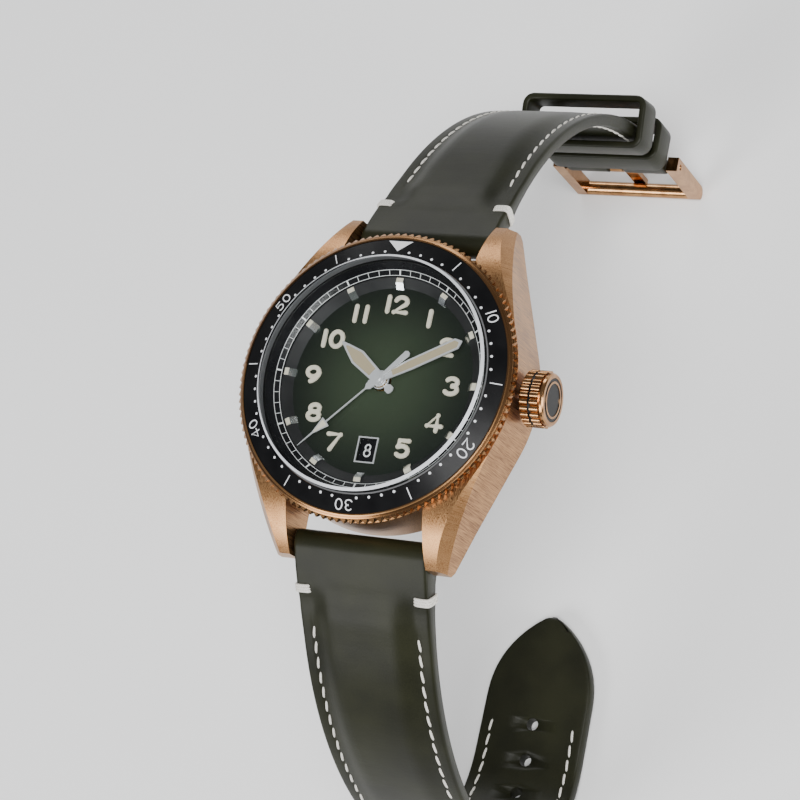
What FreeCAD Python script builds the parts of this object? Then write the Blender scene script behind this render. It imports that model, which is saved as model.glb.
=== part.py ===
import FreeCAD, Part
import math
import os

from FreeCAD import Vector

os.makedirs("parts", exist_ok=True)

# Automatic dive watch on a leather strap.  Millimetres.  The origin is the centre of the
# case back's outer face, +Z points out of the dial, +Y to 12 o'clock, +X to the crown.
# The strap is open and arches down from the lugs, so the watch stands on the strap's ends.

# ---------------------------------------------------------------- driving dimensions
LUG_SPAN = 49.7            # lug tip to lug tip, along Y
LUG_GAP = 21.0             # between the lugs: the strap's nominal width
LUG_TIP_HALF = 13.15       # half the width across a pair of lug tips
CASE_R = 20.75             # half the case's width at 3 o'clock
BODY_R = 20.2              # wall of the case between the lugs
CASE_TOP = 10.1            # ledge under the bezel
CASE_UNDER = 1.6           # underside, where the case back's flange seats
LUG_BEND_Y = 12.5          # where the lugs start to curve down
LUG_TIP_TOP = 4.65
LUG_TIP_UNDER = 1.3
NECK_R = 18.2              # neck that the bezel turns on
NECK_TOP = 11.4
RUNNING_GAP = 0.08
BACK_SEAT_R = 17.25          # bore that takes the case back
BACK_SEAT_TOP = 3.2
HOLDER_BORE_R = 16.5
DIAL_BORE_R = 16.8
GASKET_R = 17.25
GASKET_TOP = 12.2
FLANGE_IN_R = 15.05          # inner edge of the minute track's cone
FLANGE_MID_R = 15.9
FLANGE_OUT_R = 16.7
FLANGE_UNDER = 8.97
BACK_GLASS_R = 13.25

BEZEL_R = 21.0             # tips of the grip teeth: 42 mm across
BEZEL_TEETH = 120
BEZEL_UNDER = 10.3
INSERT_OUT_R = 19.85
INSERT_IN_R = 17.35
INSERT_OUT_Z = 11.65
INSERT_IN_Z = 12.42

CRYSTAL_R = 17.05
CRYSTAL_UNDER = 11.2
CRYSTAL_EDGE_Z = 13.5
CRYSTAL_TOP = 13.75

DIAL_TOP = 8.75
DIAL_THICK = 0.4
DIAL_R = 16.6
DATE_Y = -10.0
DATE_W = 2.7
DATE_H = 3.36
DATE_EDGE = 0.18

CROWN_Z = 6.4              # axis of crown and stem above the case back
CROWN_R = 3.95
CROWN_START = 21.35
CROWN_END = 24.9
CROWN_CORE_R = 3.5
CROWN_FLUTES = 24
CROWN_FLUTE_DEPTH = 0.44
CROWN_ROWS = ((21.35, 22.68), (23.03, 24.2))
CROWN_DISC_R = 3.0
CROWN_DISC_SUNK = 0.25

HOUR_ANGLE = 306.0         # hands at rest, degrees clockwise from 12
MINUTE_ANGLE = 60.8
SECOND_ANGLE = 223.7

PLATE_R = 12.95            # movement, 11 1/2 lines
PLATE_UNDER = 5.1
PLATE_TOP = 7.55
BRIDGE_UNDER = 3.15        # face seen through the case back
BRIDGE_TOP = 4.0
BRIDGE_R = 11.2

BAR_Y = 22.7               # spring bars in the lugs
BAR_Z = 2.9
BAR_R = 0.75
STRAP_WIDTH = 20.6
STRAP_END_WIDTH = 17.6
STRAP_THICK = 3.4
STRAP_END_THICK = 2.4
STRAP_LOOP_R = 2.0
STRAP_12_LENGTH = 75.0
STRAP_6_LENGTH = 118.0
STRAP_TURN = 1.02          # degrees of curl per millimetre
TAIL_R = 18.0              # bend where the long half meets the ground

# Going train: tooth counts and modules
BARREL_TEETH, GREAT_PINION, BARREL_MODULE = 84, 12, 0.12
GREAT_TEETH, THIRD_PINION, GREAT_MODULE = 80, 10, 0.085
THIRD_TEETH, FOURTH_PINION, THIRD_MODULE = 75, 10, 0.075
FOURTH_TEETH, ESCAPE_PINION, FOURTH_MODULE = 84, 7, 0.07
ESCAPE_TEETH = 20
RATCHET_TEETH, CROWN_WHEEL_TEETH, RATCHET_MODULE = 50, 36, 0.14
CONTRATE_TEETH, WINDING_TEETH, WINDING_MODULE = 24, 16, 0.1333
CANNON_TEETH, MINUTE_WHEEL_TEETH, CANNON_MODULE = 12, 36, 0.1
MINUTE_PINION_TEETH, HOUR_WHEEL_TEETH = 10, 40
DATE_TEETH = 31
DATE_MODULE = 0.53
DATE_RING_UNDER = 8.08
DATE_RING_TOP = 8.28

Z_AXIS = Vector(0, 0, 1)
X_AXIS = Vector(1, 0, 0)
Y_AXIS = Vector(0, 1, 0)


# ---------------------------------------------------------------- helpers
def save(name, shape):
    """Write one piece, or a group of like pieces, under its node's name."""
    shape.exportStep("parts/" + name + ".step")


def polar(radius, degrees, z=0.0):
    angle = math.radians(degrees)
    return Vector(radius * math.cos(angle), radius * math.sin(angle), z)


def disc(radius, z0, z1, at=(0.0, 0.0)):
    return Part.makeCylinder(radius, z1 - z0, Vector(at[0], at[1], z0))


def ring(outer, inner, z0, z1, at=(0.0, 0.0)):
    return disc(outer, z0, z1, at).cut(disc(inner, z0, z1, at))


def rod(radius, x0, x1, y=0.0, z=CROWN_Z):
    """A round bar along X."""
    return Part.makeCylinder(radius, x1 - x0, Vector(x0, y, z), X_AXIS)


def block(x0, x1, y0, y1, z0, z1):
    return Part.makeBox(x1 - x0, y1 - y0, z1 - z0, Vector(x0, y0, z0))


def turned(profile):
    """A solid of revolution about Z from (radius, z) points."""
    points = [Vector(r, 0, z) for r, z in profile]
    face = Part.Face(Part.makePolygon(points + [points[0]]))
    return face.revolve(Vector(0, 0, 0), Z_AXIS, 360)


def prism(points, z0, z1):
    """Extrude an outline of (x, y) points from z0 to z1."""
    corners = [Vector(x, y, z0) for x, y in points]
    face = Part.Face(Part.makePolygon(corners + [corners[0]]))
    return face.extrude(Vector(0, 0, z1 - z0))


def joined(shapes):
    return shapes[0].multiFuse(shapes[1:]).removeSplitter()


def gear_outline(teeth, module, phase):
    """Outline of a fine-pitch wheel; one tooth is centred on the angle phase."""
    pitch_r = teeth * module / 2
    tip_r = pitch_r + 0.75 * module
    root_r = pitch_r - 1.0 * module
    pitch = 360.0 / teeth
    points = []
    for i in range(teeth):
        centre = phase + i * pitch
        for radius, share in ((root_r, -0.30), (tip_r, -0.10), (tip_r, 0.10), (root_r, 0.30)):
            p = polar(radius, centre + share * pitch)
            points.append((p.x, p.y))
    return points


def gear(teeth, module, z0, z1, at=(0.0, 0.0), phase=0.0):
    wheel = prism(gear_outline(teeth, module, phase), z0, z1)
    wheel.translate(Vector(at[0], at[1], 0))
    return wheel


def spoked(teeth, module, z0, z1, at, phase, spokes=5):
    """A crossed-out wheel: toothed rim, spokes and hub."""
    pitch_r = teeth * module / 2
    wheel = gear(teeth, module, z0, z1, at, phase)
    window = ring(pitch_r - 4 * module, 0.28 * pitch_r, z0, z1, at)
    arm = 0.09 * pitch_r
    for i in range(spokes):
        bar = Part.makeBox(pitch_r, 2 * arm, z1 - z0, Vector(0, -arm, z0))
        bar.rotate(Vector(0, 0, 0), Z_AXIS, phase + 360.0 * i / spokes)
        bar.translate(Vector(at[0], at[1], 0))
        window = window.cut(bar)
    return wheel.cut(window)


def step_from(point, distance, degrees):
    p = polar(distance, degrees)
    return (point[0] + p.x, point[1] + p.y)


def capsule(a, b, half_width, z0, z1):
    """A bar with round ends between two (x, y) points."""
    length = math.hypot(b[0] - a[0], b[1] - a[1])
    bar = Part.makeBox(length, 2 * half_width, z1 - z0, Vector(0, -half_width, z0))
    bar.rotate(Vector(0, 0, 0), Z_AXIS, math.degrees(math.atan2(b[1] - a[1], b[0] - a[0])))
    bar.translate(Vector(a[0], a[1], 0))
    return joined([bar, disc(half_width, z0, z1, a), disc(half_width, z0, z1, b)])


def spiral(r_in, r_out, turns, thickness, z0, z1, at):
    """A flat coil spring."""
    steps = int(turns * 12)

    def edge(offset):
        points = []
        for i in range(steps + 1):
            share = i / steps
            points.append(polar(r_in + (r_out - r_in) * share + offset, 360 * turns * share, z0))
        curve = Part.BSplineCurve()
        curve.interpolate(points)
        return curve.toShape()

    outer = edge(thickness / 2)
    inner = edge(-thickness / 2)
    ends = []
    for i in (0, 1):
        ends.append(Part.makeLine(outer.Vertexes[i].Point, inner.Vertexes[i].Point))
    face = Part.Face(Part.Wire([outer, ends[1], inner, ends[0]]))
    coil = face.extrude(Vector(0, 0, z1 - z0))
    coil.translate(Vector(at[0], at[1], 0))
    return coil


# ---------------------------------------------------------------- case
def lug_top(y):
    """Height of the lugs' top face."""
    run = LUG_SPAN / 2 - LUG_BEND_Y
    drop = CASE_TOP - LUG_TIP_TOP
    bend_r = (run * run + drop * drop) / (2 * drop)
    past = max(abs(y) - LUG_BEND_Y, 0.0)
    return CASE_TOP - (bend_r - math.sqrt(bend_r * bend_r - past * past))


def flank_tangent():
    """Where the straight flank of a lug meets the round of the case."""
    tip = Vector(LUG_TIP_HALF, LUG_SPAN / 2, 0)
    swing = math.degrees(math.acos(CASE_R / tip.Length))
    return polar(CASE_R, math.degrees(math.atan2(tip.y, tip.x)) - swing)


def case_plan():
    """Top view of case and lugs, as a solid through the full height."""
    meet = flank_tangent()
    tip_y = LUG_SPAN / 2
    corners = [Vector(LUG_TIP_HALF, tip_y, 0), meet, Vector(meet.x, -meet.y, 0)]
    corners += [Vector(LUG_TIP_HALF, -tip_y, 0), Vector(-LUG_TIP_HALF, -tip_y, 0)]
    corners += [Vector(-meet.x, -meet.y, 0), Vector(-meet.x, meet.y, 0), Vector(-LUG_TIP_HALF, tip_y, 0)]
    right = Part.Arc(corners[1], Vector(CASE_R, 0, 0), corners[2]).toShape()
    left = Part.Arc(corners[5], Vector(-CASE_R, 0, 0), corners[6]).toShape()
    edges = [Part.makeLine(corners[0], corners[1]), right, Part.makeLine(corners[2], corners[3])]
    edges += [Part.makeLine(corners[3], corners[4]), Part.makeLine(corners[4], corners[5]), left]
    edges += [Part.makeLine(corners[6], corners[7]), Part.makeLine(corners[7], corners[0])]
    return Part.Face(Part.Wire(edges)).extrude(Vector(0, 0, CASE_TOP + 1))


def case_side():
    """Side view of case and lugs, as a solid across the full width."""
    tip_y = LUG_SPAN / 2
    mid_y = (LUG_BEND_Y + tip_y) / 2
    under_y = 18.6
    width = Vector(2 * CASE_R + 2, 0, 0)
    x = -CASE_R - 1

    def at(y, z):
        return Vector(x, y, z)

    edges = []
    for side in (1, -1):
        top_arc = Part.Arc(at(side * LUG_BEND_Y, CASE_TOP), at(side * mid_y, lug_top(mid_y)),
                           at(side * tip_y, LUG_TIP_TOP))
        edges.append(top_arc.toShape())
        edges.append(Part.makeLine(at(side * tip_y, LUG_TIP_TOP), at(side * tip_y, LUG_TIP_UNDER + 0.5)))
        edges.append(Part.makeLine(at(side * tip_y, LUG_TIP_UNDER + 0.5),
                                   at(side * (tip_y - 0.7), LUG_TIP_UNDER)))
        edges.append(Part.makeLine(at(side * (tip_y - 0.7), LUG_TIP_UNDER), at(side * under_y, CASE_UNDER)))
    edges.append(Part.makeLine(at(-LUG_BEND_Y, CASE_TOP), at(LUG_BEND_Y, CASE_TOP)))
    edges.append(Part.makeLine(at(-under_y, CASE_UNDER), at(under_y, CASE_UNDER)))
    wire = Part.Wire(Part.__sortEdges__(edges))
    return Part.Face(wire).extrude(width)


def flank_x(y):
    """Half-width of the case along the straight flank of a lug."""
    meet = flank_tangent()
    share = (abs(y) - meet.y) / (LUG_SPAN / 2 - meet.y)
    return meet.x + (LUG_TIP_HALF - meet.x) * share


def lug_bevel(side_x, side_y):
    """Cutter for the bevel between a lug's top face and its flank, wider towards the tip."""
    sections = []
    for y, across, down in ((9.5, 0.05, 0.08), (12.5, 0.45, 0.6), (16.0, 0.95, 1.3),
                            (20.0, 1.25, 1.75), (25.3, 1.3, 2.0)):
        x = flank_x(y)
        z = lug_top(min(y, LUG_SPAN / 2))
        inner = Vector(x - 2 * across, y, z + down)
        lower = Vector(x + across, y, z - 2 * down)
        corners = [inner, lower, Vector(x + 4, y, z - 2 * down), Vector(x + 4, y, z + down)]
        sections.append(Part.makePolygon(corners + [corners[0]]))
    cutter = Part.makeLoft(sections, True, False)
    if side_x < 0:
        cutter = cutter.mirror(Vector(0, 0, 0), X_AXIS)
    if side_y < 0:
        cutter = cutter.mirror(Vector(0, 0, 0), Y_AXIS)
    return cutter


def mid_case():
    body = case_plan().common(case_side())
    for side_x in (1, -1):
        for side_y in (1, -1):
            body = body.cut(lug_bevel(side_x, side_y))
    body = body.fuse(disc(NECK_R, CASE_TOP - 1, NECK_TOP))
    half_gap = LUG_GAP / 2
    gap = block(-half_gap, half_gap, -LUG_SPAN, LUG_SPAN, 0, CASE_TOP - 0.01)
    body = body.cut(gap.cut(disc(BODY_R, 0, CASE_TOP)))
    body = body.cut(disc(BACK_SEAT_R, CASE_UNDER, BACK_SEAT_TOP))
    body = body.cut(disc(HOLDER_BORE_R, BACK_SEAT_TOP, DIAL_TOP - DIAL_THICK))
    body = body.cut(disc(DIAL_BORE_R, DIAL_TOP - DIAL_THICK, CRYSTAL_UNDER))
    body = body.cut(disc(GASKET_R, CRYSTAL_UNDER, NECK_TOP))
    body = body.cut(ring(19.3, 18.6, CASE_TOP - 0.35, CASE_TOP))
    body = body.cut(rod(1.6, 16.0, CASE_R + 1))
    for side in (1, -1):
        for x in (-1, 1):
            start = x * (half_gap + 1.3) if x < 0 else half_gap - 0.1
            body = body.cut(rod(0.5, start, start + 1.4, side * BAR_Y, BAR_Z))
    return body.removeSplitter()


def case_back():
    profile = [(13.3, 0.0), (17.9, 0.0), (18.4, 0.5), (18.4, CASE_UNDER), (17.2, CASE_UNDER),
               (17.2, 3.1), (14.6, 3.1), (14.6, 1.5), (14.2, 1.5), (14.2, 0.55), (13.3, 0.55)]
    back = turned(profile)
    for i in range(6):
        notch = block(-1.1, 1.1, 16.9, 19.0, -0.1, 0.6)
        notch.rotate(Vector(0, 0, 0), Z_AXIS, 60 * i + 30)
        back = back.cut(notch)
    return back


def crystal():
    edge_r = CRYSTAL_R - 0.3
    start = Vector(0, 0, CRYSTAL_TOP)
    rim = Vector(edge_r, 0, CRYSTAL_EDGE_Z)
    half_r = edge_r / 2
    crown_mid = Vector(half_r, 0, CRYSTAL_TOP - (CRYSTAL_TOP - CRYSTAL_EDGE_Z) / 4)
    dome = Part.Arc(start, crown_mid, rim).toShape()
    points = [rim, Vector(CRYSTAL_R, 0, CRYSTAL_EDGE_Z - 0.3), Vector(CRYSTAL_R, 0, CRYSTAL_UNDER),
              Vector(0, 0, CRYSTAL_UNDER), start]
    edges = [dome] + [Part.makeLine(a, b) for a, b in zip(points, points[1:])]
    return Part.Face(Part.Wire(edges)).revolve(Vector(0, 0, 0), Z_AXIS, 360)


def make_case():
    save("mid_case", mid_case())
    save("case_back", case_back())
    window = [(0, 0), (BACK_GLASS_R, 0), (BACK_GLASS_R, 0.6), (14.15, 0.6), (14.15, 1.3), (0, 1.3)]
    save("case_back_glass", turned(window))
    save("crown_tube", rod(1.58, 16.6, 23.0).cut(rod(0.9, 16.6, 23.0)))
    save("crystal", crystal())
    save("crystal_gasket", ring(GASKET_R, CRYSTAL_R, CRYSTAL_UNDER, GASKET_TOP))
    outer = DIAL_BORE_R - 0.02
    flange = [(FLANGE_IN_R, FLANGE_UNDER), (FLANGE_IN_R, 9.9), (FLANGE_MID_R, 10.3),
              (FLANGE_OUT_R, CRYSTAL_UNDER), (outer, CRYSTAL_UNDER), (outer, FLANGE_UNDER)]
    save("flange_ring", turned(flange))


# ---------------------------------------------------------------- bezel
def bezel_ring():
    root_r = BEZEL_R - 0.6
    points = []
    for i in range(BEZEL_TEETH):
        centre = 360.0 * i / BEZEL_TEETH
        half = 180.0 / BEZEL_TEETH
        for radius, share in ((root_r, -1.0), (BEZEL_R, -0.12), (BEZEL_R, 0.12)):
            p = polar(radius, centre + share * half)
            points.append((p.x, p.y))
    teeth = prism(points, BEZEL_UNDER, 11.4)
    waist = turned([(0, BEZEL_UNDER), (20.35, BEZEL_UNDER), (BEZEL_R, 10.7), (BEZEL_R, 10.9),
                    (20.5, 11.4), (0, 11.4)])
    grip = teeth.common(waist)
    lip = turned([(0, 11.25), (20.5, 11.25), (20.5, 11.42), (20.05, 11.74), (0, 11.74)])
    body = grip.fuse(lip)
    body = body.cut(disc(NECK_R + RUNNING_GAP, BEZEL_UNDER, 12))
    body = body.cut(disc(INSERT_OUT_R, 11.0, 12))
    return body.removeSplitter()


def make_bezel():
    save("bezel_ring", bezel_ring())
    under = 11.5
    insert = [(INSERT_IN_R, under), (INSERT_IN_R, INSERT_IN_Z - 0.08), (INSERT_IN_R + 0.08, INSERT_IN_Z),
              (INSERT_OUT_R - 0.06, INSERT_OUT_Z + 0.02), (INSERT_OUT_R, INSERT_OUT_Z - 0.05),
              (INSERT_OUT_R, 11.0), (18.4, 11.0), (18.4, under)]
    save("bezel_insert", turned(insert))
    spring = ring(19.2, 18.7, CASE_TOP - 0.35, CASE_TOP - 0.05)
    spring = spring.cut(block(-2, 2, 15, 22, 9, 11))
    save("bezel_spring", spring)


# ---------------------------------------------------------------- dial
def dial():
    under = DIAL_TOP - DIAL_THICK
    plate = disc(DIAL_R, under, DIAL_TOP).cut(disc(1.5, under, DIAL_TOP))
    window = block(-DATE_W / 2, DATE_W / 2, DATE_Y - DATE_H / 2, DATE_Y + DATE_H / 2, under, DIAL_TOP)
    feet = [disc(0.4, 7.0, under, step_from((0, 0), DIAL_FOOT_R, angle)) for angle in DIAL_FOOT_ANGLES]
    return joined([plate.cut(window)] + feet)


def hour_block(profile, half_width, index):
    """One applied hour marker from its (radius, z) side view, at the hour index."""
    points = [Vector(-half_width, r, z) for r, z in profile]
    face = Part.Face(Part.makePolygon(points + [points[0]]))
    marker = face.extrude(Vector(2 * half_width, 0, 0))
    marker.rotate(Vector(0, 0, 0), Z_AXIS, -30 * index)
    return marker


def make_dial():
    save("dial", dial())
    slope = turned([(13.6, DIAL_TOP), (14.85, 9.72), (15.0, 9.72), (15.0, 8.95),
                    (DIAL_R, 8.95), (DIAL_R, DIAL_TOP)])
    save("hour_ring", slope)
    block_side = [(13.3, DIAL_TOP), (13.3, 9.0), (14.15, 9.74), (14.8, 9.74), (14.8, 9.678), (13.6, DIAL_TOP)]
    save("hour_markers", Part.makeCompound([hour_block(block_side, 0.56, i).cut(slope) for i in range(12)]))
    lume_side = [(14.18, 9.74), (14.18, 9.82), (14.8, 9.82), (14.8, 9.74)]
    save("marker_lume", Part.makeCompound([hour_block(lume_side, 0.5, i) for i in range(12)]))
    half_w = DATE_W / 2 + DATE_EDGE
    half_h = DATE_H / 2 + DATE_EDGE
    frame = block(-half_w, half_w, DATE_Y - half_h, DATE_Y + half_h, DIAL_TOP, DIAL_TOP + 0.16)
    hole = block(-DATE_W / 2, DATE_W / 2, DATE_Y - DATE_H / 2, DATE_Y + DATE_H / 2, DIAL_TOP, DIAL_TOP + 1)
    save("date_frame", frame.cut(hole))


# ---------------------------------------------------------------- hands
def mirrored_outline(half):
    """A closed outline from (y, half width) pairs, the same on both sides of Y."""
    right = [(w, y) for y, w in half]
    left = [(-w, y) for y, w in reversed(half) if w > 0]
    return right + left


def set_hand(shape, clockwise):
    shape.rotate(Vector(0, 0, 0), Z_AXIS, -clockwise)
    return shape


def hand_with_lume(name, angle, outline, inset, hub_r, bore_r, tube, z0):
    """A faceted hand with a filled window."""
    thick = 0.2
    window = prism(mirrored_outline(inset), z0, z0 + thick)
    frame = prism(mirrored_outline(outline), z0, z0 + thick).cut(window)
    frame = joined([frame, disc(hub_r, z0, z0 + thick), disc(tube, z0 - 0.15, z0)])
    frame = frame.cut(disc(bore_r, z0 - 1, z0 + 1))
    save(name + "_hand", set_hand(frame, angle))
    filling = prism(mirrored_outline(inset), z0 + 0.03, z0 + thick - 0.02)
    save(name + "_hand_lume", set_hand(filling, angle))


def seconds_hand():
    z0 = 9.92
    needle = mirrored_outline([(-0.9, 0.2), (0.6, 0.6), (1.75, 0.52), (2.15, 0.2), (2.3, 0.1), (9.4, 0.1),
                               (9.45, 0.8), (11.9, 0.12), (14.66, 0.03)])
    weight = mirrored_outline([(-5.65, 0.2), (-5.35, 0.5), (-0.7, 0.18)])
    hand = joined([prism(needle, z0, z0 + 0.14), prism(weight, z0, z0 + 0.14),
                   disc(0.9, z0, z0 + 0.2), disc(0.42, z0 + 0.2, z0 + 0.42)])
    return set_hand(hand.cut(disc(0.2, z0 - 0.1, z0 + 0.3)), SECOND_ANGLE)


def make_hands():
    hand_with_lume("hour", HOUR_ANGLE,
                   [(-2.65, 0.25), (-2.4, 0.6), (-1.8, 0.6), (-1.35, 0.3), (-0.6, 0.5), (0.8, 0.9),
                    (1.3, 0.95), (5.1, 1.17), (7.45, 0.5), (8.6, 0.12)],
                   [(1.7, 0.66), (5.1, 0.86), (7.3, 0.26), (7.7, 0.08)], 1.35, 1.2, 1.3, 9.2)
    hand_with_lume("minute", MINUTE_ANGLE,
                   [(-1.7, 0.2), (-1.5, 0.45), (-0.9, 0.45), (1.0, 0.5), (1.9, 0.62), (5.0, 0.8),
                    (12.15, 0.8), (13.0, 0.04)],
                   [(2.1, 0.40), (5.0, 0.54), (12.0, 0.54), (12.45, 0.08)], 1.1, 0.8, 1.0, 9.56)
    save("seconds_hand", seconds_hand())


# ---------------------------------------------------------------- crown and keyless works
STEM_GROOVE_X = 11.0
WINDING_X = (9.15, 10.5)
SLIDING_X = (7.0, 9.05)
STEM_BORE = 0.62
STEM_R = 0.55
LEVER_FOOT = (10.8, -3.6)
LEVER_Z = 7.12
LEVER_THICK = 0.3


def fluted(radius, depth, x0, x1):
    """A ring of rounded ribs round the crown's axis."""
    edges = []
    pitch = 360.0 / CROWN_FLUTES
    for i in range(CROWN_FLUTES):
        start = polar(radius - depth, i * pitch)
        top = polar(radius, (i + 0.5) * pitch)
        end = polar(radius - depth, (i + 1) * pitch)
        edges.append(Part.Arc(start, top, end).toShape())
    face = Part.Face(Part.Wire(edges))
    ribs = face.extrude(Vector(0, 0, x1 - x0))
    ribs.rotate(Vector(0, 0, 0), Y_AXIS, 90)
    ribs.translate(Vector(x0, 0, CROWN_Z))
    return ribs


def crown():
    ribs = [fluted(CROWN_R, CROWN_FLUTE_DEPTH, x0, x1) for x0, x1 in CROWN_ROWS]
    cores = [rod(CROWN_CORE_R, CROWN_ROWS[0][0] + 0.4, 24.5), rod(3.65, 24.38, CROWN_END)]
    body = joined(ribs + cores)
    trim = [(CROWN_START, 3.55), (CROWN_START + 0.35, CROWN_R + 0.1), (CROWN_END - 0.75, CROWN_R + 0.1),
            (CROWN_END - 0.2, 3.66), (CROWN_END, 3.45)]
    corners = [Vector(x, 0, CROWN_Z + r) for x, r in trim]
    corners = [Vector(CROWN_START, 0, CROWN_Z)] + corners + [Vector(CROWN_END, 0, CROWN_Z)]
    blank = Part.Face(Part.makePolygon(corners + [corners[0]]))
    body = body.common(blank.revolve(Vector(0, 0, CROWN_Z), X_AXIS, 360))
    body = body.cut(rod(1.8, CROWN_START - 1, 23.9))
    return body.cut(rod(CROWN_DISC_R, CROWN_END - CROWN_DISC_SUNK, CROWN_END + 1))


def pinion_on_stem(teeth, module, x0, x1, bore):
    pinion = gear(teeth, module, 0, x1 - x0)
    pinion.rotate(Vector(0, 0, 0), Y_AXIS, 90)
    pinion.translate(Vector(x0, 0, CROWN_Z))
    return pinion.cut(rod(bore, x0, x1))


def make_crown():
    save("crown", crown())
    save("crown_disc", rod(CROWN_DISC_R - 0.02, CROWN_END - CROWN_DISC_SUNK, CROWN_END - 0.05))
    stem = joined([rod(0.35, 4.6, 5.6), rod(STEM_R, 5.6, 23.9)])
    groove = rod(0.7, STEM_GROOVE_X - 0.35, STEM_GROOVE_X + 0.35).cut(rod(0.35, 9, 14))
    save("winding_stem", stem.cut(groove))
    save("winding_pinion", pinion_on_stem(WINDING_TEETH, WINDING_MODULE, *WINDING_X, STEM_BORE))
    save("sliding_pinion", pinion_on_stem(14, 0.125, *SLIDING_X, STEM_BORE))
    arm = capsule(LEVER_FOOT, (STEM_GROOVE_X, -0.2), 0.45, LEVER_Z, LEVER_Z + LEVER_THICK)
    pin = disc(0.2, CROWN_Z + 0.42, LEVER_Z + 0.1, (STEM_GROOVE_X, 0.0))
    foot = disc(0.4, 6.0, LEVER_Z, LEVER_FOOT)
    save("setting_lever", joined([arm, pin, foot]))


# ---------------------------------------------------------------- movement
THIRD_AT = step_from((0, 0), (THIRD_TEETH + FOURTH_PINION) * THIRD_MODULE / 2, 155)
GREAT_AT = step_from(THIRD_AT, (GREAT_TEETH + THIRD_PINION) * GREAT_MODULE / 2, 55)
BARREL_AT = step_from(GREAT_AT, (BARREL_TEETH + GREAT_PINION) * BARREL_MODULE / 2, 8)
ESCAPE_AT = step_from((0, 0), (FOURTH_TEETH + ESCAPE_PINION) * FOURTH_MODULE / 2, 235)
BALANCE_AT = (-6.9, -5.2)
PALLET_SHARE = 0.44
PALLET_AT = (ESCAPE_AT[0] + PALLET_SHARE * (BALANCE_AT[0] - ESCAPE_AT[0]),
             ESCAPE_AT[1] + PALLET_SHARE * (BALANCE_AT[1] - ESCAPE_AT[1]))
RATCHET_REACH = (RATCHET_TEETH + CROWN_WHEEL_TEETH) * RATCHET_MODULE / 2
CROWN_WHEEL_AT = (BARREL_AT[0] + math.sqrt(RATCHET_REACH ** 2 - BARREL_AT[1] ** 2), 0.0)
MINUTE_WHEEL_AT = step_from((0, 0), (CANNON_TEETH + MINUTE_WHEEL_TEETH) * CANNON_MODULE / 2, 35)
HOUR_MODULE = (CANNON_TEETH + MINUTE_WHEEL_TEETH) * CANNON_MODULE / (MINUTE_PINION_TEETH + HOUR_WHEEL_TEETH)
CLICK_AT = step_from(BARREL_AT, RATCHET_TEETH * RATCHET_MODULE / 2 + 1.5, 115)
COCK_FOOT = (-9.3, 1.0)
BALANCE_R = 4.0
PIVOT_R = 0.1
PIVOT_UNDER = 3.3           # lower end of the train's pivots
PIVOT_TOP = 5.5
DIAL_FOOT_R = 12.6
DIAL_FOOT_ANGLES = (75, 255)
ARBOR_BORE = 0.87
SCREW_R = 0.4
SCREW_HEAD_R = 0.8
SCREW_HEAD = 0.3
WHEEL_THICK = 0.1
JEWEL_R = 0.45
TRAIN_PILLARS = ((-5.5, 5.2), (1.5, -7.8), (6.2, -6.8))
BARREL_PILLARS = ((10.2, -2.8), (-3.2, 9.6), (0.2, 10.6))
BRIDGE_SPLIT = 40.0        # direction square to the gap between the two bridges
SPLIT_OFFSET = 1.2


def half_disc(side):
    """The bridges' disc on one side of the gap between them."""
    plate = disc(BRIDGE_R, BRIDGE_UNDER, BRIDGE_TOP)
    gap = 0.08
    offset = SPLIT_OFFSET + gap if side > 0 else SPLIT_OFFSET - gap
    keep = Part.makeBox(30, 60, 3, Vector(0, -30, BRIDGE_UNDER - 1))
    if side < 0:
        keep.translate(Vector(-30, 0, 0))
    keep.translate(Vector(offset, 0, 0))
    keep.rotate(Vector(0, 0, 0), Z_AXIS, BRIDGE_SPLIT)
    return plate.common(keep)


def with_pillars(bridge, places):
    posts = [disc(0.9, BRIDGE_TOP, PLATE_UNDER, at) for at in places]
    bridge = joined([bridge] + posts)
    for at in places:
        bridge = bridge.cut(disc(SCREW_R, BRIDGE_UNDER, PLATE_UNDER, at))
    return bridge


def bored(shape, places, radius, z0, z1):
    for at in places:
        shape = shape.cut(disc(radius, z0, z1, at))
    return shape


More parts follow.
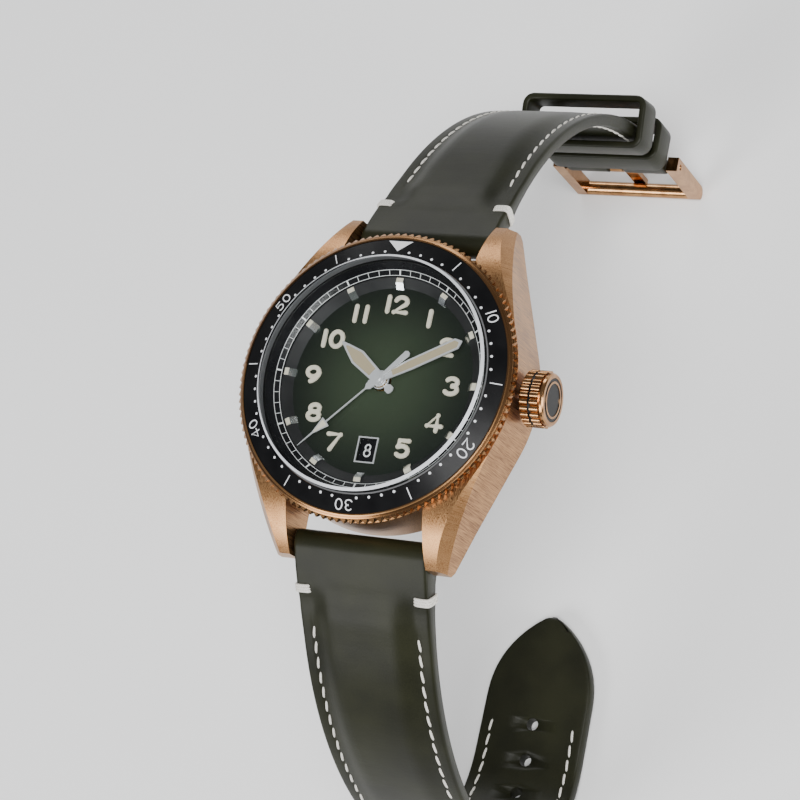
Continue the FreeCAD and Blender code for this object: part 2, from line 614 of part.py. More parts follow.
def make_bridges():
    train = half_disc(-1)
    train = train.cut(disc(BALANCE_R + 0.5, BRIDGE_UNDER, BRIDGE_TOP, BALANCE_AT))
    train = train.cut(capsule(COCK_FOOT, BALANCE_AT, 1.6, BRIDGE_UNDER, BRIDGE_TOP))
    train = with_pillars(train, TRAIN_PILLARS)
    train = bored(train, (THIRD_AT, ESCAPE_AT, (0, 0)), JEWEL_R, BRIDGE_UNDER, BRIDGE_TOP)
    save("train_bridge", train)
    barrel = with_pillars(half_disc(1), BARREL_PILLARS)
    barrel = bored(barrel, (GREAT_AT,), JEWEL_R, BRIDGE_UNDER, BRIDGE_TOP)
    barrel = bored(barrel, (BARREL_AT,), ARBOR_BORE, BRIDGE_UNDER, BRIDGE_TOP)
    barrel = bored(barrel, (CROWN_WHEEL_AT,), 0.56, BRIDGE_UNDER, BRIDGE_TOP)
    barrel = bored(barrel, (CLICK_AT,), 0.36, BRIDGE_UNDER, BRIDGE_TOP)
    save("barrel_bridge", barrel)
    arm = capsule(COCK_FOOT, BALANCE_AT, 1.35, BRIDGE_UNDER, BRIDGE_TOP)
    cock = joined([arm, disc(1.3, BRIDGE_TOP, PLATE_UNDER, COCK_FOOT)])
    cock = bored(cock, (COCK_FOOT,), 0.4, BRIDGE_UNDER, PLATE_UNDER)
    cock = bored(cock, (BALANCE_AT,), JEWEL_R, BRIDGE_UNDER, BRIDGE_TOP)
    save("balance_cock", cock)
    jewels = []
    for at in (THIRD_AT, ESCAPE_AT, GREAT_AT, BALANCE_AT):
        jewels.append(ring(JEWEL_R, PIVOT_R + 0.03, BRIDGE_UNDER + 0.1, BRIDGE_TOP, at))
    jewels.append(ring(JEWEL_R, 0.23, BRIDGE_UNDER + 0.1, BRIDGE_TOP))
    save("jewels", Part.makeCompound(jewels))
    screws = []
    for at in TRAIN_PILLARS + BARREL_PILLARS + (COCK_FOOT,):
        head = disc(SCREW_HEAD_R, BRIDGE_UNDER - SCREW_HEAD, BRIDGE_UNDER, at)
        slot = block(at[0] - 1, at[0] + 1, at[1] - 0.1, at[1] + 0.1, BRIDGE_UNDER - 0.4, BRIDGE_UNDER - 0.18)
        screws.append(head.fuse(disc(SCREW_R, BRIDGE_UNDER, PLATE_UNDER, at)).cut(slot))
    save("bridge_screws", Part.makeCompound(screws))


def mainplate():
    plate = disc(PLATE_R, PLATE_UNDER, PLATE_TOP)
    rim = ring(PLATE_R, 12.3, PLATE_TOP, DIAL_TOP - DIAL_THICK)
    tube = disc(0.42, PLATE_TOP, 8.9)
    plate = joined([plate, rim, tube])
    plate = plate.cut(disc(0.28, PLATE_UNDER, 9))
    plate = plate.cut(block(3.9, 11.2, -1.35, 1.35, 5.2, 9))
    plate = plate.cut(block(11.1, 14, -0.75, 0.75, 5.6, 9))
    plate = plate.cut(block(10.0, 14, -4.4, 0.75, 5.95, 9))
    plate = plate.cut(disc(2.0, PLATE_UNDER, 5.45, CROWN_WHEEL_AT))
    plate = plate.cut(disc(BALANCE_R + 0.45, PLATE_UNDER, 6.1, BALANCE_AT))
    plate = plate.cut(disc(2.2, PLATE_UNDER, 5.8, ESCAPE_AT))
    plate = plate.cut(disc(1.75, PLATE_UNDER, 5.8, PALLET_AT))
    plate = bored(plate, (THIRD_AT, ESCAPE_AT, GREAT_AT, PALLET_AT, BALANCE_AT), PIVOT_R + 0.03, 5, 6.6)
    plate = bored(plate, (BARREL_AT,), ARBOR_BORE, 5, 6.0)
    plate = bored(plate, (MINUTE_WHEEL_AT,), 0.28, 7.0, 8)
    feet = [step_from((0, 0), DIAL_FOOT_R, angle) for angle in DIAL_FOOT_ANGLES]
    return bored(plate, feet, 0.4, 7.0, 9)


def make_train():
    """Barrel to escape wheel.  Each pair has a tooth of one facing a gap of the other."""
    barrel = gear(BARREL_TEETH, BARREL_MODULE, 4.75, 5.0, BARREL_AT, 188.0)
    barrel = barrel.fuse(disc(4.75, 4.45, 5.05, BARREL_AT))
    barrel = barrel.cut(disc(4.5, 4.55, 4.95, BARREL_AT)).cut(disc(ARBOR_BORE, 4.4, 5.1, BARREL_AT))
    save("barrel", barrel)
    save("mainspring", spiral(1.0, 4.35, 9, 0.12, 4.58, 4.92, BARREL_AT))

    great = spoked(GREAT_TEETH, GREAT_MODULE, 4.2, 4.2 + WHEEL_THICK, GREAT_AT, 235.0)
    pinion = gear(GREAT_PINION, BARREL_MODULE, 4.4, 5.05, GREAT_AT, 8.0 + 180.0 / GREAT_PINION)
    staff = joined([disc(PIVOT_R, PIVOT_UNDER, PIVOT_TOP, GREAT_AT), disc(0.3, 4.05, 5.05, GREAT_AT)])
    save("great_wheel", joined([great, pinion, staff]))

    third = spoked(THIRD_TEETH, THIRD_MODULE, 4.6, 4.6 + WHEEL_THICK, THIRD_AT, 335.0)
    pinion = gear(THIRD_PINION, GREAT_MODULE, 4.18, 4.4, THIRD_AT, 55.0 + 180.0 / THIRD_PINION)
    staff = joined([disc(PIVOT_R, PIVOT_UNDER, PIVOT_TOP, THIRD_AT), disc(0.22, 4.18, 5.0, THIRD_AT)])
    save("third_wheel", joined([third, pinion, staff]))

    fourth = spoked(FOURTH_TEETH, FOURTH_MODULE, 4.05, 4.05 + WHEEL_THICK, (0, 0), 235.0)
    pinion = gear(FOURTH_PINION, THIRD_MODULE, 4.5, 4.8, (0, 0), 155.0 + 180.0 / FOURTH_PINION)
    staff = joined([disc(0.2, 3.3, 10.12), disc(0.26, 4.05, 5.05)])
    save("fourth_wheel", joined([fourth, pinion, staff]))

    escape_pitch = 360.0 / ESCAPE_TEETH
    points = []
    for i in range(ESCAPE_TEETH):
        for radius, share in ((1.45, 0.0), (1.9, 0.35), (1.9, 0.5), (1.5, 0.45)):
            p = polar(radius, (i + share) * escape_pitch)
            points.append((p.x, p.y))
    wheel = prism(points, 5.3, 5.42)
    wheel.translate(Vector(ESCAPE_AT[0], ESCAPE_AT[1], 0))
    wheel = wheel.cut(ring(1.15, 0.45, 5.3, 5.42, ESCAPE_AT).cut(
        block(ESCAPE_AT[0] - 2, ESCAPE_AT[0] + 2, ESCAPE_AT[1] - 0.15, ESCAPE_AT[1] + 0.15, 5, 6)))
    pinion = gear(ESCAPE_PINION, FOURTH_MODULE, 4.05, 4.4, ESCAPE_AT, 55.0 + 180.0 / ESCAPE_PINION)
    staff = joined([disc(PIVOT_R, PIVOT_UNDER, 6.2, ESCAPE_AT), disc(0.16, 4.05, 5.6, ESCAPE_AT)])
    save("escape_wheel", joined([wheel, pinion, staff]))


def make_escapement():
    line = math.degrees(math.atan2(BALANCE_AT[1] - ESCAPE_AT[1], BALANCE_AT[0] - ESCAPE_AT[0]))
    lever = prism([(-0.12, -1.1), (0.12, -1.1), (0.12, 1.1), (-0.12, 1.1)], 5.3, 5.44)
    tail = prism([(0, -0.12), (1.9, -0.1), (2.25, -0.3), (2.25, 0.3), (1.9, 0.1), (0, 0.12)], 5.3, 5.44)
    fork = joined([lever, tail, disc(0.3, 5.25, 5.5), disc(PIVOT_R, 5.2, 6.2)])
    fork.rotate(Vector(0, 0, 0), Z_AXIS, line)
    fork.translate(Vector(PALLET_AT[0], PALLET_AT[1], 0))
    save("pallet_fork", fork)
    rim = ring(BALANCE_R, 3.6, 4.45, 4.85, BALANCE_AT)
    x, y = BALANCE_AT
    spokes = [block(x - 3.7, x + 3.7, y - 0.2, y + 0.2, 4.6, 4.75)]
    spokes.append(block(x - 0.2, x + 0.2, y - 3.7, y + 3.7, 4.6, 4.75))
    roller = disc(0.6, 5.15, 5.25, BALANCE_AT)
    staff = joined([disc(PIVOT_R, PIVOT_UNDER, 6.5, BALANCE_AT), disc(0.25, 4.1, 5.6, BALANCE_AT)])
    save("balance_wheel", joined([rim] + spokes + [roller, staff]))
    save("hairspring", spiral(0.4, 2.4, 8, 0.05, 4.15, 4.35, BALANCE_AT))


def make_winding():
    to_crown_wheel = math.degrees(math.atan2(-BARREL_AT[1], CROWN_WHEEL_AT[0] - BARREL_AT[0]))
    ratchet = gear(RATCHET_TEETH, RATCHET_MODULE, 2.75, 3.05, BARREL_AT, to_crown_wheel)
    save("ratchet_wheel", joined([ratchet, disc(0.8, 2.6, 6.0, BARREL_AT)]))
    upper = gear(CROWN_WHEEL_TEETH, RATCHET_MODULE, 2.75, 3.05, CROWN_WHEEL_AT,
                 to_crown_wheel + 180.0 + 180.0 / CROWN_WHEEL_TEETH)
    lower = gear(CONTRATE_TEETH, WINDING_MODULE, 5.1, 5.28, CROWN_WHEEL_AT)
    save("crown_wheel", joined([upper, disc(0.5, 2.75, 5.28, CROWN_WHEEL_AT), lower]))
    beak = step_from(BARREL_AT, RATCHET_TEETH * RATCHET_MODULE / 2 + 0.62, 97)
    save("click", joined([capsule(CLICK_AT, beak, 0.4, 2.8, 3.05), disc(0.3, 2.8, 3.9, CLICK_AT)]))


def make_motion_works():
    cannon = joined([ring(0.8, 0.48, 7.88, 9.76), gear(CANNON_TEETH, CANNON_MODULE, 7.6, 7.88, (0, 0), 35.0)])
    save("cannon_pinion", cannon.cut(disc(0.48, 7, 10)))
    minute = spoked(MINUTE_WHEEL_TEETH, CANNON_MODULE, 7.62, 7.75, MINUTE_WHEEL_AT,
                    215.0 + 180.0 / MINUTE_WHEEL_TEETH)
    pinion = gear(MINUTE_PINION_TEETH, HOUR_MODULE, 7.95, 8.15, MINUTE_WHEEL_AT, 215.0)
    save("minute_wheel", joined([minute, pinion, disc(0.23, 7.2, 8.2, MINUTE_WHEEL_AT)]))
    wheel = gear(HOUR_WHEEL_TEETH, HOUR_MODULE, 7.98, 8.12, (0, 0), 35.0 + 180.0 / HOUR_WHEEL_TEETH)
    wheel = wheel.fuse(disc(1.2, 7.98, 9.36))
    save("hour_wheel", wheel.cut(disc(0.88, 7, 10)))


def make_date_ring():
    inner = gear_outline(DATE_TEETH, DATE_MODULE, 0.0)
    shape = disc(11.95, DATE_RING_UNDER, DATE_RING_TOP).cut(prism(inner, DATE_RING_UNDER, DATE_RING_TOP))
    save("date_ring", shape)


ROTOR_R = 12.85
ROTOR_BORE = 2.28
ROTOR_UNDER = 1.75
ROTOR_TOP = 2.25


def make_rotor():
    profile = [(ROTOR_BORE, ROTOR_UNDER), (12.4, ROTOR_UNDER), (ROTOR_R, 2.1), (ROTOR_R, 3.6), (11.45, 3.6),
               (11.45, ROTOR_TOP), (ROTOR_BORE, ROTOR_TOP)]
    weight = turned(profile)
    weight = weight.cut(block(-14, 14, 0.8, 14, 1, 4))
    hub = ring(3.3, ROTOR_BORE, ROTOR_UNDER, ROTOR_TOP)
    weight = weight.fuse(hub)
    for angle in (-150, -90, -30):
        window = ring(9.4, 4.6, 1, 3)
        wedge = Part.makeBox(12, 30, 4, Vector(0, -15, 0))
        wedge.rotate(Vector(0, 0, 0), Z_AXIS, angle)
        side_a = wedge.copy()
        side_a.rotate(Vector(0, 0, 0), Z_AXIS, 68)
        side_b = wedge.copy()
        side_b.rotate(Vector(0, 0, 0), Z_AXIS, -68)
        weight = weight.cut(window.common(side_a).common(side_b))
    save("rotor", weight.removeSplitter())
    bearing = disc(ROTOR_BORE - 0.08, ROTOR_UNDER, BRIDGE_UNDER).cut(block(-0.9, 0.9, -0.12, 0.12, 1.7, 1.95))
    save("rotor_bearing", bearing)


def make_holder():
    holder = ring(16.45, 13.0, 4.6, 7.9)
    holder = holder.cut(rod(1.0, 12, 18)).cut(block(12, 16.6, -1.0, 1.0, CROWN_Z, 8))
    save("movement_holder", holder)


# ---------------------------------------------------------------- strap
def strap_path(length, first, curl_end, drop=0.0, tail=False):
    """Centre line of a strap half: (distance along, y from the bar's side, z, heading)."""
    y, z, heading = BAR_Y, BAR_Z, first
    path = [(0.0, y, z, heading)]
    steps = int(length)
    curl_stop = 10 + (curl_end - first) / -STRAP_TURN
    for i in range(1, steps + 1):
        if 10 < i <= curl_stop:
            heading = max(heading - STRAP_TURN, curl_end)
        if tail and i > curl_stop + drop:
            heading = max(heading - math.degrees(1 / TAIL_R), -180.0)
        y += math.cos(math.radians(heading))
        z += math.sin(math.radians(heading))
        path.append((float(i), y, z, heading))
    return path


def strap_half(path, side):
    """A strap half lofted along its path, with the loop that holds the spring bar."""
    sections = []
    length = path[-1][0]
    spans = round(length / 6)
    stations = [path[round(i * length / spans)] for i in range(spans + 1)]
    for s, y, z, heading in stations:
        share = s / length
        half_w = (STRAP_WIDTH + (STRAP_END_WIDTH - STRAP_WIDTH) * share) / 2
        half_t = (STRAP_THICK + (STRAP_END_THICK - STRAP_THICK) * min(3 * share, 1)) / 2
        normal = Vector(0, -math.sin(math.radians(heading)), math.cos(math.radians(heading)))
        centre = Vector(0, y, z)
        up = normal * half_t
        out = Vector(half_w, 0, 0)
        corners = [centre + up + out, centre + up - out, centre - up - out, centre - up + out]
        sections.append(Part.makePolygon(corners + [corners[0]]))
    body = Part.makeLoft(sections, True, False)
    half = STRAP_WIDTH / 2
    body = body.fuse(rod(STRAP_LOOP_R, -half, half, BAR_Y, BAR_Z))
    body = body.cut(rod(BAR_R + 0.1, -half - 1, half + 1, BAR_Y, BAR_Z))
    if side < 0:
        body = body.mirror(Vector(0, 0, 0), Y_AXIS)
    return body


KEEPER_WALL = 1.1
KEEPER_HALF = 2.6


def keeper(station, inner_w, inside, outside):
    """A leather loop round the strap at a station of its path."""
    s, y, z, heading = station
    half_w = inner_w / 2
    outer = block(-half_w - KEEPER_WALL, half_w + KEEPER_WALL, -inside - KEEPER_WALL, outside + KEEPER_WALL,
                  -KEEPER_HALF, KEEPER_HALF)
    loop = outer.cut(block(-half_w, half_w, -inside, outside, -KEEPER_HALF, KEEPER_HALF))
    loop.rotate(Vector(0, 0, 0), X_AXIS, heading + 90)
    loop.translate(Vector(0, y, z))
    return loop


BUCKLE_LENGTH = 11.0
BUCKLE_ARM = 1.9
BUCKLE_HALF = 1.2
BUCKLE_PIN_R = 0.44
BUCKLE_BORE_R = 0.5
BUCKLE_DROP = 1.6          # from the leather's end to the bar
TANG_HALF = 1.05


def make_buckle(end):
    """Pin buckle on the short half's end: bar through the leather, frame and tang."""
    y, bar_z = end[1], end[2] - BUCKLE_DROP
    half_w = STRAP_END_WIDTH / 2 + 0.35
    arms = []
    for x in (half_w, -half_w - BUCKLE_ARM):
        arms.append(block(x, x + BUCKLE_ARM, y - BUCKLE_HALF, y + BUCKLE_HALF,
                          bar_z - BUCKLE_LENGTH, bar_z + 1.4))
    cross = rod(BUCKLE_HALF, -half_w - BUCKLE_ARM, half_w + BUCKLE_ARM, y, bar_z - BUCKLE_LENGTH)
    frame = joined(arms + [cross])
    frame = frame.cut(rod(BUCKLE_BORE_R, -20, 20, y, bar_z))
    save("buckle", frame)
    save("buckle_bar", rod(BUCKLE_PIN_R, -half_w - BUCKLE_ARM + 0.2, half_w + BUCKLE_ARM - 0.2, y, bar_z))
    blade = block(-TANG_HALF, TANG_HALF, y + 1.25, y + 2.15, bar_z - BUCKLE_LENGTH - 0.6, bar_z + 0.1)
    root = rod(1.15, -TANG_HALF, TANG_HALF, y, bar_z)
    web = block(-TANG_HALF, TANG_HALF, y, y + 2.15, bar_z - 0.9, bar_z + 0.9)
    tang = joined([blade, root, web]).cut(rod(BUCKLE_BORE_R, -2, 2, y, bar_z))
    save("buckle_tang", tang)
    return bar_z - BUCKLE_LENGTH - BUCKLE_HALF


def make_strap():
    short = strap_path(STRAP_12_LENGTH, -29.0, -90.0)
    end = short[-1]
    body = strap_half(short, 1)
    ground = make_buckle(end)
    bar_z = end[2] - BUCKLE_DROP
    half_w = STRAP_END_WIDTH / 2
    loop = rod(STRAP_END_THICK / 2 + 0.1, -half_w, half_w, end[1], bar_z)
    half_t = STRAP_END_THICK / 2
    neck = block(-half_w, half_w, end[1] - half_t, end[1] + half_t, bar_z, end[2] + 0.1)
    body = body.fuse(loop).fuse(neck)
    body = body.cut(rod(0.52, -20, 20, end[1], bar_z))
    body = body.cut(block(-1.5, 1.5, end[1] - 4, end[1] + 4, bar_z - 4, bar_z + 2.6))
    save("strap_12", body.removeSplitter())
    flat = strap_path(STRAP_6_LENGTH, -33.0, -90.0, 0.0, True)
    drop = flat[-1][2] - (ground + STRAP_END_THICK / 2)
    long_path = strap_path(STRAP_6_LENGTH, -33.0, -90.0, round(drop), True)
    save("strap_6", strap_half(long_path, -1).removeSplitter())
    save("keeper_fixed", keeper(short[70], 18.1, 1.25, 4.0))
    save("keeper_free", keeper(short[61], 19.2, 1.9, 4.6))
    bars = []
    for side in (1, -1):
        body = rod(BAR_R, -LUG_GAP / 2 + 0.05, LUG_GAP / 2 - 0.05, side * BAR_Y, BAR_Z)
        tips = rod(0.42, -LUG_GAP / 2 - 1.1, LUG_GAP / 2 + 1.1, side * BAR_Y, BAR_Z)
        bars.append(joined([body, tips]))
    save("spring_bars", Part.makeCompound(bars))


make_case()
make_bezel()
make_dial()
make_hands()
make_crown()
make_bridges()
save("mainplate", mainplate())
make_train()
make_escapement()
make_winding()
make_motion_works()
make_date_ring()
make_rotor()
make_holder()
make_strap()
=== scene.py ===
import math

import bmesh
import bpy
from mathutils import Matrix, Vector


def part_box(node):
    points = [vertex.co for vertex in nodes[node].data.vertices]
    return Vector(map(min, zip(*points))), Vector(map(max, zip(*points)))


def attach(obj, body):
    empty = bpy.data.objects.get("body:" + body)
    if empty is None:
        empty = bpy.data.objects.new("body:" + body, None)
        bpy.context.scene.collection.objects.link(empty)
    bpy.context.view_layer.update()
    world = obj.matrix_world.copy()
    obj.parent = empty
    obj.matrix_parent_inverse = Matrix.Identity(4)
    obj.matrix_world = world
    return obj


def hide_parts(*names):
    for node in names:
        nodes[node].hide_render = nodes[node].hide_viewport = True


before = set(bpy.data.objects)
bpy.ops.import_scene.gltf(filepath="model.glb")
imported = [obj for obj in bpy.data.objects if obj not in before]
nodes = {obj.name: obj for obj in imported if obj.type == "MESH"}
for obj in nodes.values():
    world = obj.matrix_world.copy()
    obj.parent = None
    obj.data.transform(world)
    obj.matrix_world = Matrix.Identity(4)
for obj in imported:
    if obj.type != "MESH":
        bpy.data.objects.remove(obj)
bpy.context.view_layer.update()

MM = 0.001

# ---------------------------------------------------------------- sizes in millimetres
DOTS_Z = 12.3                     # height of the bezel's minute dots
DIAL_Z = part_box("date_frame")[0][2] / MM
BAR_Y = 22.7
BAR_Z = 2.9
STRAP_WIDTH = 20.6
STRAP_END_WIDTH = 17.6
STRAP_TURN = 1.02                 # degrees of curl per millimetre
TAIL_R = 18.0
SHORT_LENGTH = 75.0
LONG_LENGTH = 118.0
INSERT_INNER = (17.43, 12.42)     # radius and height of the bezel insert's inner edge
INSERT_SLOPE = -0.318
MARKS_R = 18.7                    # middle of the bezel's lines and numerals
FLANGE_INNER = (15.05, 9.9)       # radius and height of the flange's lower edge
FLANGE_SLOPE = 0.4 / 0.85
SECONDS_TOP = 10.06
SECONDS_AT = 223.7                # where the seconds hand points, in degrees from 12
FLOOR_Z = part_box("buckle")[0][2]


# ---------------------------------------------------------------- shader maths
class Value:
    """A number that varies over a surface. Operators add the Math nodes."""

    def __init__(self, graph, socket):
        self.graph = graph
        self.socket = socket

    def math(self, operation, *others):
        inputs = dict(enumerate((self,) + others))
        return self.graph.node("ShaderNodeMath", {"operation": operation}, inputs)

    def __add__(self, other):
        return self.math("ADD", other)

    def __mul__(self, other):
        return self.math("MULTIPLY", other)

    def __sub__(self, other):
        return self.math("SUBTRACT", other)

    def __truediv__(self, other):
        return self.math("DIVIDE", other)

    __radd__ = __add__
    __rmul__ = __mul__

    def above(self, edge, soft):
        """0 below the edge, 1 above it, with a soft step."""
        settings = {"interpolation_type": "SMOOTHSTEP"}
        inputs = {"Value": self, "From Min": edge - soft, "From Max": edge + soft}
        return self.graph.node("ShaderNodeMapRange", settings, inputs)


class Graph:
    """One material and its nodes."""

    def __init__(self, name):
        self.material = bpy.data.materials.new(name)
        self.material.use_nodes = True
        self.tree = self.material.node_tree
        self.tree.nodes.clear()
        self.output = self.tree.nodes.new("ShaderNodeOutputMaterial")

    def node(self, kind, settings=None, inputs=None, output=0):
        node = self.tree.nodes.new(kind)
        for key, value in (settings or {}).items():
            setattr(node, key, value)
        for key, value in (inputs or {}).items():
            socket = node.inputs[key]
            if isinstance(value, Value):
                self.tree.links.new(value.socket, socket)
            else:
                socket.default_value = value
        return Value(self, node.outputs[output])

    def place(self, scale=(1.0, 1.0, 1.0)):
        """Object coordinates in millimetres, stretched along each axis."""
        where = self.node("ShaderNodeTexCoord", output="Object")
        return self.node("ShaderNodeMapping", {}, {"Vector": where, "Scale": [1000.0 * s for s in scale]})

    def axes(self, vector):
        split = self.node("ShaderNodeSeparateXYZ", {}, {"Vector": vector})
        return [Value(self, split.socket.node.outputs[i]) for i in range(3)]

    def noise(self, vector, scale, detail=2.0, roughness=0.5):
        inputs = {"Vector": vector, "Scale": scale, "Detail": detail, "Roughness": roughness}
        return self.node("ShaderNodeTexNoise", {}, inputs)

    def colours(self, factor, low, high):
        """A colour between two, by a factor."""
        mix = self.node("ShaderNodeMix", {"data_type": "RGBA"}, {}, output=2)
        node = mix.socket.node
        self.tree.links.new(factor.socket, node.inputs[0])
        for index, colour in ((6, low), (7, high)):
            if isinstance(colour, Value):
                self.tree.links.new(colour.socket, node.inputs[index])
            else:
                node.inputs[index].default_value = (*colour, 1.0)
        return mix

    def bump(self, height, strength, distance_mm):
        inputs = {"Height": height, "Strength": strength, "Distance": distance_mm * MM}
        return self.node("ShaderNodeBump", {}, inputs)

    def surface(self, **inputs):
        """Ends the material in one Principled shader."""
        named = {key.replace("_", " "): value for key, value in inputs.items()}
        if "Base Color" in named and isinstance(named["Base Color"], tuple):
            named["Base Color"] = (*named["Base Color"], 1.0)
        shader = self.node("ShaderNodeBsdfPrincipled", {}, named)
        self.tree.links.new(shader.socket, self.output.inputs["Surface"])
        return self.material


# ---------------------------------------------------------------- finishes
BRONZE_DARK = (0.15, 0.062, 0.023)
BRONZE = (0.32, 0.158, 0.066)
BRONZE_LIGHT = (0.49, 0.27, 0.122)


def brushed(name, dark, light, across=(14.0, 0.35, 14.0), flank=(0.6, 11.0, 0.3), low=0.24, high=0.44):
    """Satin metal: strokes along the lugs on top, and up and down on the flanks."""
    g = Graph(name)
    facing = g.axes(g.node("ShaderNodeNewGeometry", output="Normal"))[0]
    side = facing.math("ABSOLUTE").above(0.72, 0.08)
    top_lines = g.noise(g.place(across), 1.0, 3.0, 0.6)
    side_lines = g.noise(g.place(flank), 1.0, 3.0, 0.6)
    lines = top_lines + side * (side_lines - top_lines)
    clouds = g.noise(g.place(), 0.22, 2.0)
    tone = (lines * 0.8 + clouds * 0.2).above(0.48, 0.17)
    roughness = lines.above(0.5, 0.3) * (high - low) + low
    return g.surface(Base_Color=g.colours(tone, dark, light), Metallic=1.0, Roughness=roughness,
                     Normal=g.bump(lines, 0.4, 0.02))


def polished(name, dark, light, roughness):
    """Bright metal with faint handling marks."""
    g = Graph(name)
    clouds = g.noise(g.place(), 0.5, 3.0)
    marks = g.noise(g.place((6.0, 0.8, 2.0)), 1.5, 4.0, 0.7)
    tone = clouds.above(0.5, 0.25)
    return g.surface(Base_Color=g.colours(tone, dark, light), Metallic=1.0,
                     Roughness=marks.above(0.55, 0.2) * 0.08 + roughness)


def radial_coordinates(g):
    """(distance from the dial's centre in mm, angle as a share of a turn)."""
    x, y, z = g.axes(g.place())
    distance = (x * x + y * y).math("SQRT")
    angle = y.math("ARCTAN2", x) / math.tau
    return distance, angle


def turned_metal(name, dark, light, low=0.2, high=0.4, rings=6.0):
    """Metal finished on a lathe, with fine rings."""
    g = Graph(name)
    distance, angle = radial_coordinates(g)
    z = g.axes(g.place())[2]
    where = g.node("ShaderNodeCombineXYZ", {}, {"X": distance * rings, "Y": angle * 3.0, "Z": z * rings})
    lines = g.noise(where, 1.0, 3.0, 0.6)
    tone = lines.above(0.5, 0.25)
    return g.surface(Base_Color=g.colours(tone, dark, light), Metallic=1.0,
                     Roughness=lines.above(0.5, 0.3) * (high - low) + low)


def striped(name, dark, light, stripe_mm=1.6):
    """Rhodium plate with straight decorative stripes and a satin grain."""
    g = Graph(name)
    x = g.axes(g.place())[0]
    wave = (x * (math.tau / stripe_mm)).math("SINE") * 0.5 + 0.5
    grain = g.noise(g.place((30.0, 1.0, 30.0)), 1.0, 2.0)
    tone = wave * 0.6 + grain * 0.4
    return g.surface(Base_Color=g.colours(tone, dark, light), Metallic=1.0, Roughness=wave * 0.18 + 0.24)


def lacquer(name, low, high, roughness, reflect):
    """Gloss black or coloured lacquer with a faint uneven depth."""
    g = Graph(name)
    clouds = g.noise(g.place(), 0.3, 3.0)
    return g.surface(Base_Color=g.colours(clouds.above(0.5, 0.3), low, high),
                     Roughness=clouds * 0.08 + roughness, Specular_IOR_Level=reflect)


def dial_green():
    """Green dial, lighter in the middle and nearly black at the edge, with a fine grain."""
    g = Graph("dial_green")
    distance, angle = radial_coordinates(g)
    edge = distance.above(8.6, 6.5)
    grain = g.noise(g.place(), 14.0, 2.0, 0.7)
    rays = g.noise(g.node("ShaderNodeCombineXYZ", {}, {"X": angle * 160.0, "Y": distance * 0.05}), 1.0, 2.0)
    middle = g.colours(grain.above(0.5, 0.3), (0.030, 0.046, 0.024), (0.058, 0.078, 0.044))
    colour = g.colours(edge, middle, (0.006, 0.010, 0.006))
    return g.surface(Base_Color=colour, Metallic=0.35, Roughness=rays * 0.12 + 0.36,
                     Normal=g.bump(grain, 0.25, 0.02))


def lume():
    """Cream luminous paint with a fine grain."""
    g = Graph("lume_cream")
    grain = g.noise(g.place(), 9.0, 3.0, 0.7)
    clouds = g.noise(g.place(), 0.9, 2.0)
    tone = grain * 0.6 + clouds * 0.4
    return g.surface(Base_Color=g.colours(tone.above(0.5, 0.25), (0.60, 0.545, 0.42), (0.76, 0.71, 0.585)),
                     Roughness=0.62, Normal=g.bump(grain, 0.35, 0.03))


def sapphire(name, gain):
    """Clear coated crystal: see-through, with reflections that grow at the rim."""
    g = Graph(name)
    fresnel = g.node("ShaderNodeFresnel", {}, {"IOR": 1.42})
    clear = g.node("ShaderNodeBsdfTransparent", {}, {"Color": (0.975, 0.985, 0.985, 1.0)})
    smudge = g.noise(g.place(), 0.4, 3.0)
    gloss = g.node("ShaderNodeBsdfPrincipled", {}, {"Base Color": (0.9, 0.92, 0.95, 1.0), "Metallic": 1.0,
                                                    "Roughness": smudge * 0.04 + 0.01})
    mixed = g.node("ShaderNodeMixShader", {}, {0: fresnel * gain, 1: clear, 2: gloss})
    g.tree.links.new(mixed.socket, g.output.inputs["Surface"])
    return g.material


def leather(name, dark, light, roughness=0.42):
    """Smooth calf: fine pores, soft creases across the strap and a wax sheen."""
    g = Graph(name)
    where = g.place()
    pores = g.node("ShaderNodeTexVoronoi", {"feature": "F1"}, {"Vector": where, "Scale": 3.4})
    fine = g.noise(where, 6.0, 4.0, 0.65)
    creases = g.noise(g.place((0.25, 1.3, 1.3)), 0.9, 3.0, 0.6)
    clouds = g.noise(where, 0.12, 2.0)
    height = pores * 0.35 + fine * 0.5 + creases * 0.9
    tone = (clouds * 0.6 + fine * 0.4).above(0.5, 0.22)
    return g.surface(Base_Color=g.colours(tone, dark, light), Roughness=fine * 0.2 + roughness - 0.1,
                     Specular_IOR_Level=0.2, Normal=g.bump(height, 0.35, 0.05))


def thread():
    """Twisted linen thread."""
    g = Graph("thread_linen")
    x, y, z = g.axes(g.place())
    twist = ((x + y + z) * 16.0).math("SINE") * 0.5 + 0.5
    fuzz = g.noise(g.place(), 12.0, 3.0)
    return g.surface(Base_Color=g.colours(twist * 0.5 + fuzz * 0.5, (0.50, 0.475, 0.42), (0.86, 0.84, 0.78)),
                     Roughness=0.85, Normal=g.bump(twist, 0.5, 0.05))


def paint(name, low, high, roughness=0.4):
    """Printed or filled marks."""
    g = Graph(name)
    grain = g.noise(g.place(), 8.0, 2.0)
    return g.surface(Base_Color=g.colours(grain, low, high), Roughness=grain * 0.1 + roughness)


def silver_hands():
    """Satin silver on the hands, bright from every side."""
    g = Graph("silver_satin")
    grain = g.noise(g.place((8.0, 8.0, 8.0)), 1.0, 3.0)
    return g.surface(Base_Color=g.colours(grain, (0.66, 0.66, 0.68), (0.80, 0.80, 0.81)), Metallic=0.5,
                     Roughness=grain * 0.12 + 0.26)


def crystal_edge():
    """Bevel of the crystal as a pale opaque ring: a painted highlight standing in for the light the
    crystal's edge catches.
    """
    g = Graph("crystal_bevel_painted_highlight")
    clouds = g.noise(g.place(), 0.6, 2.0)
    return g.surface(Base_Color=g.colours(clouds, (0.72, 0.74, 0.78), (0.86, 0.88, 0.92)),
                     Roughness=clouds * 0.1 + 0.2, Metallic=0.3)


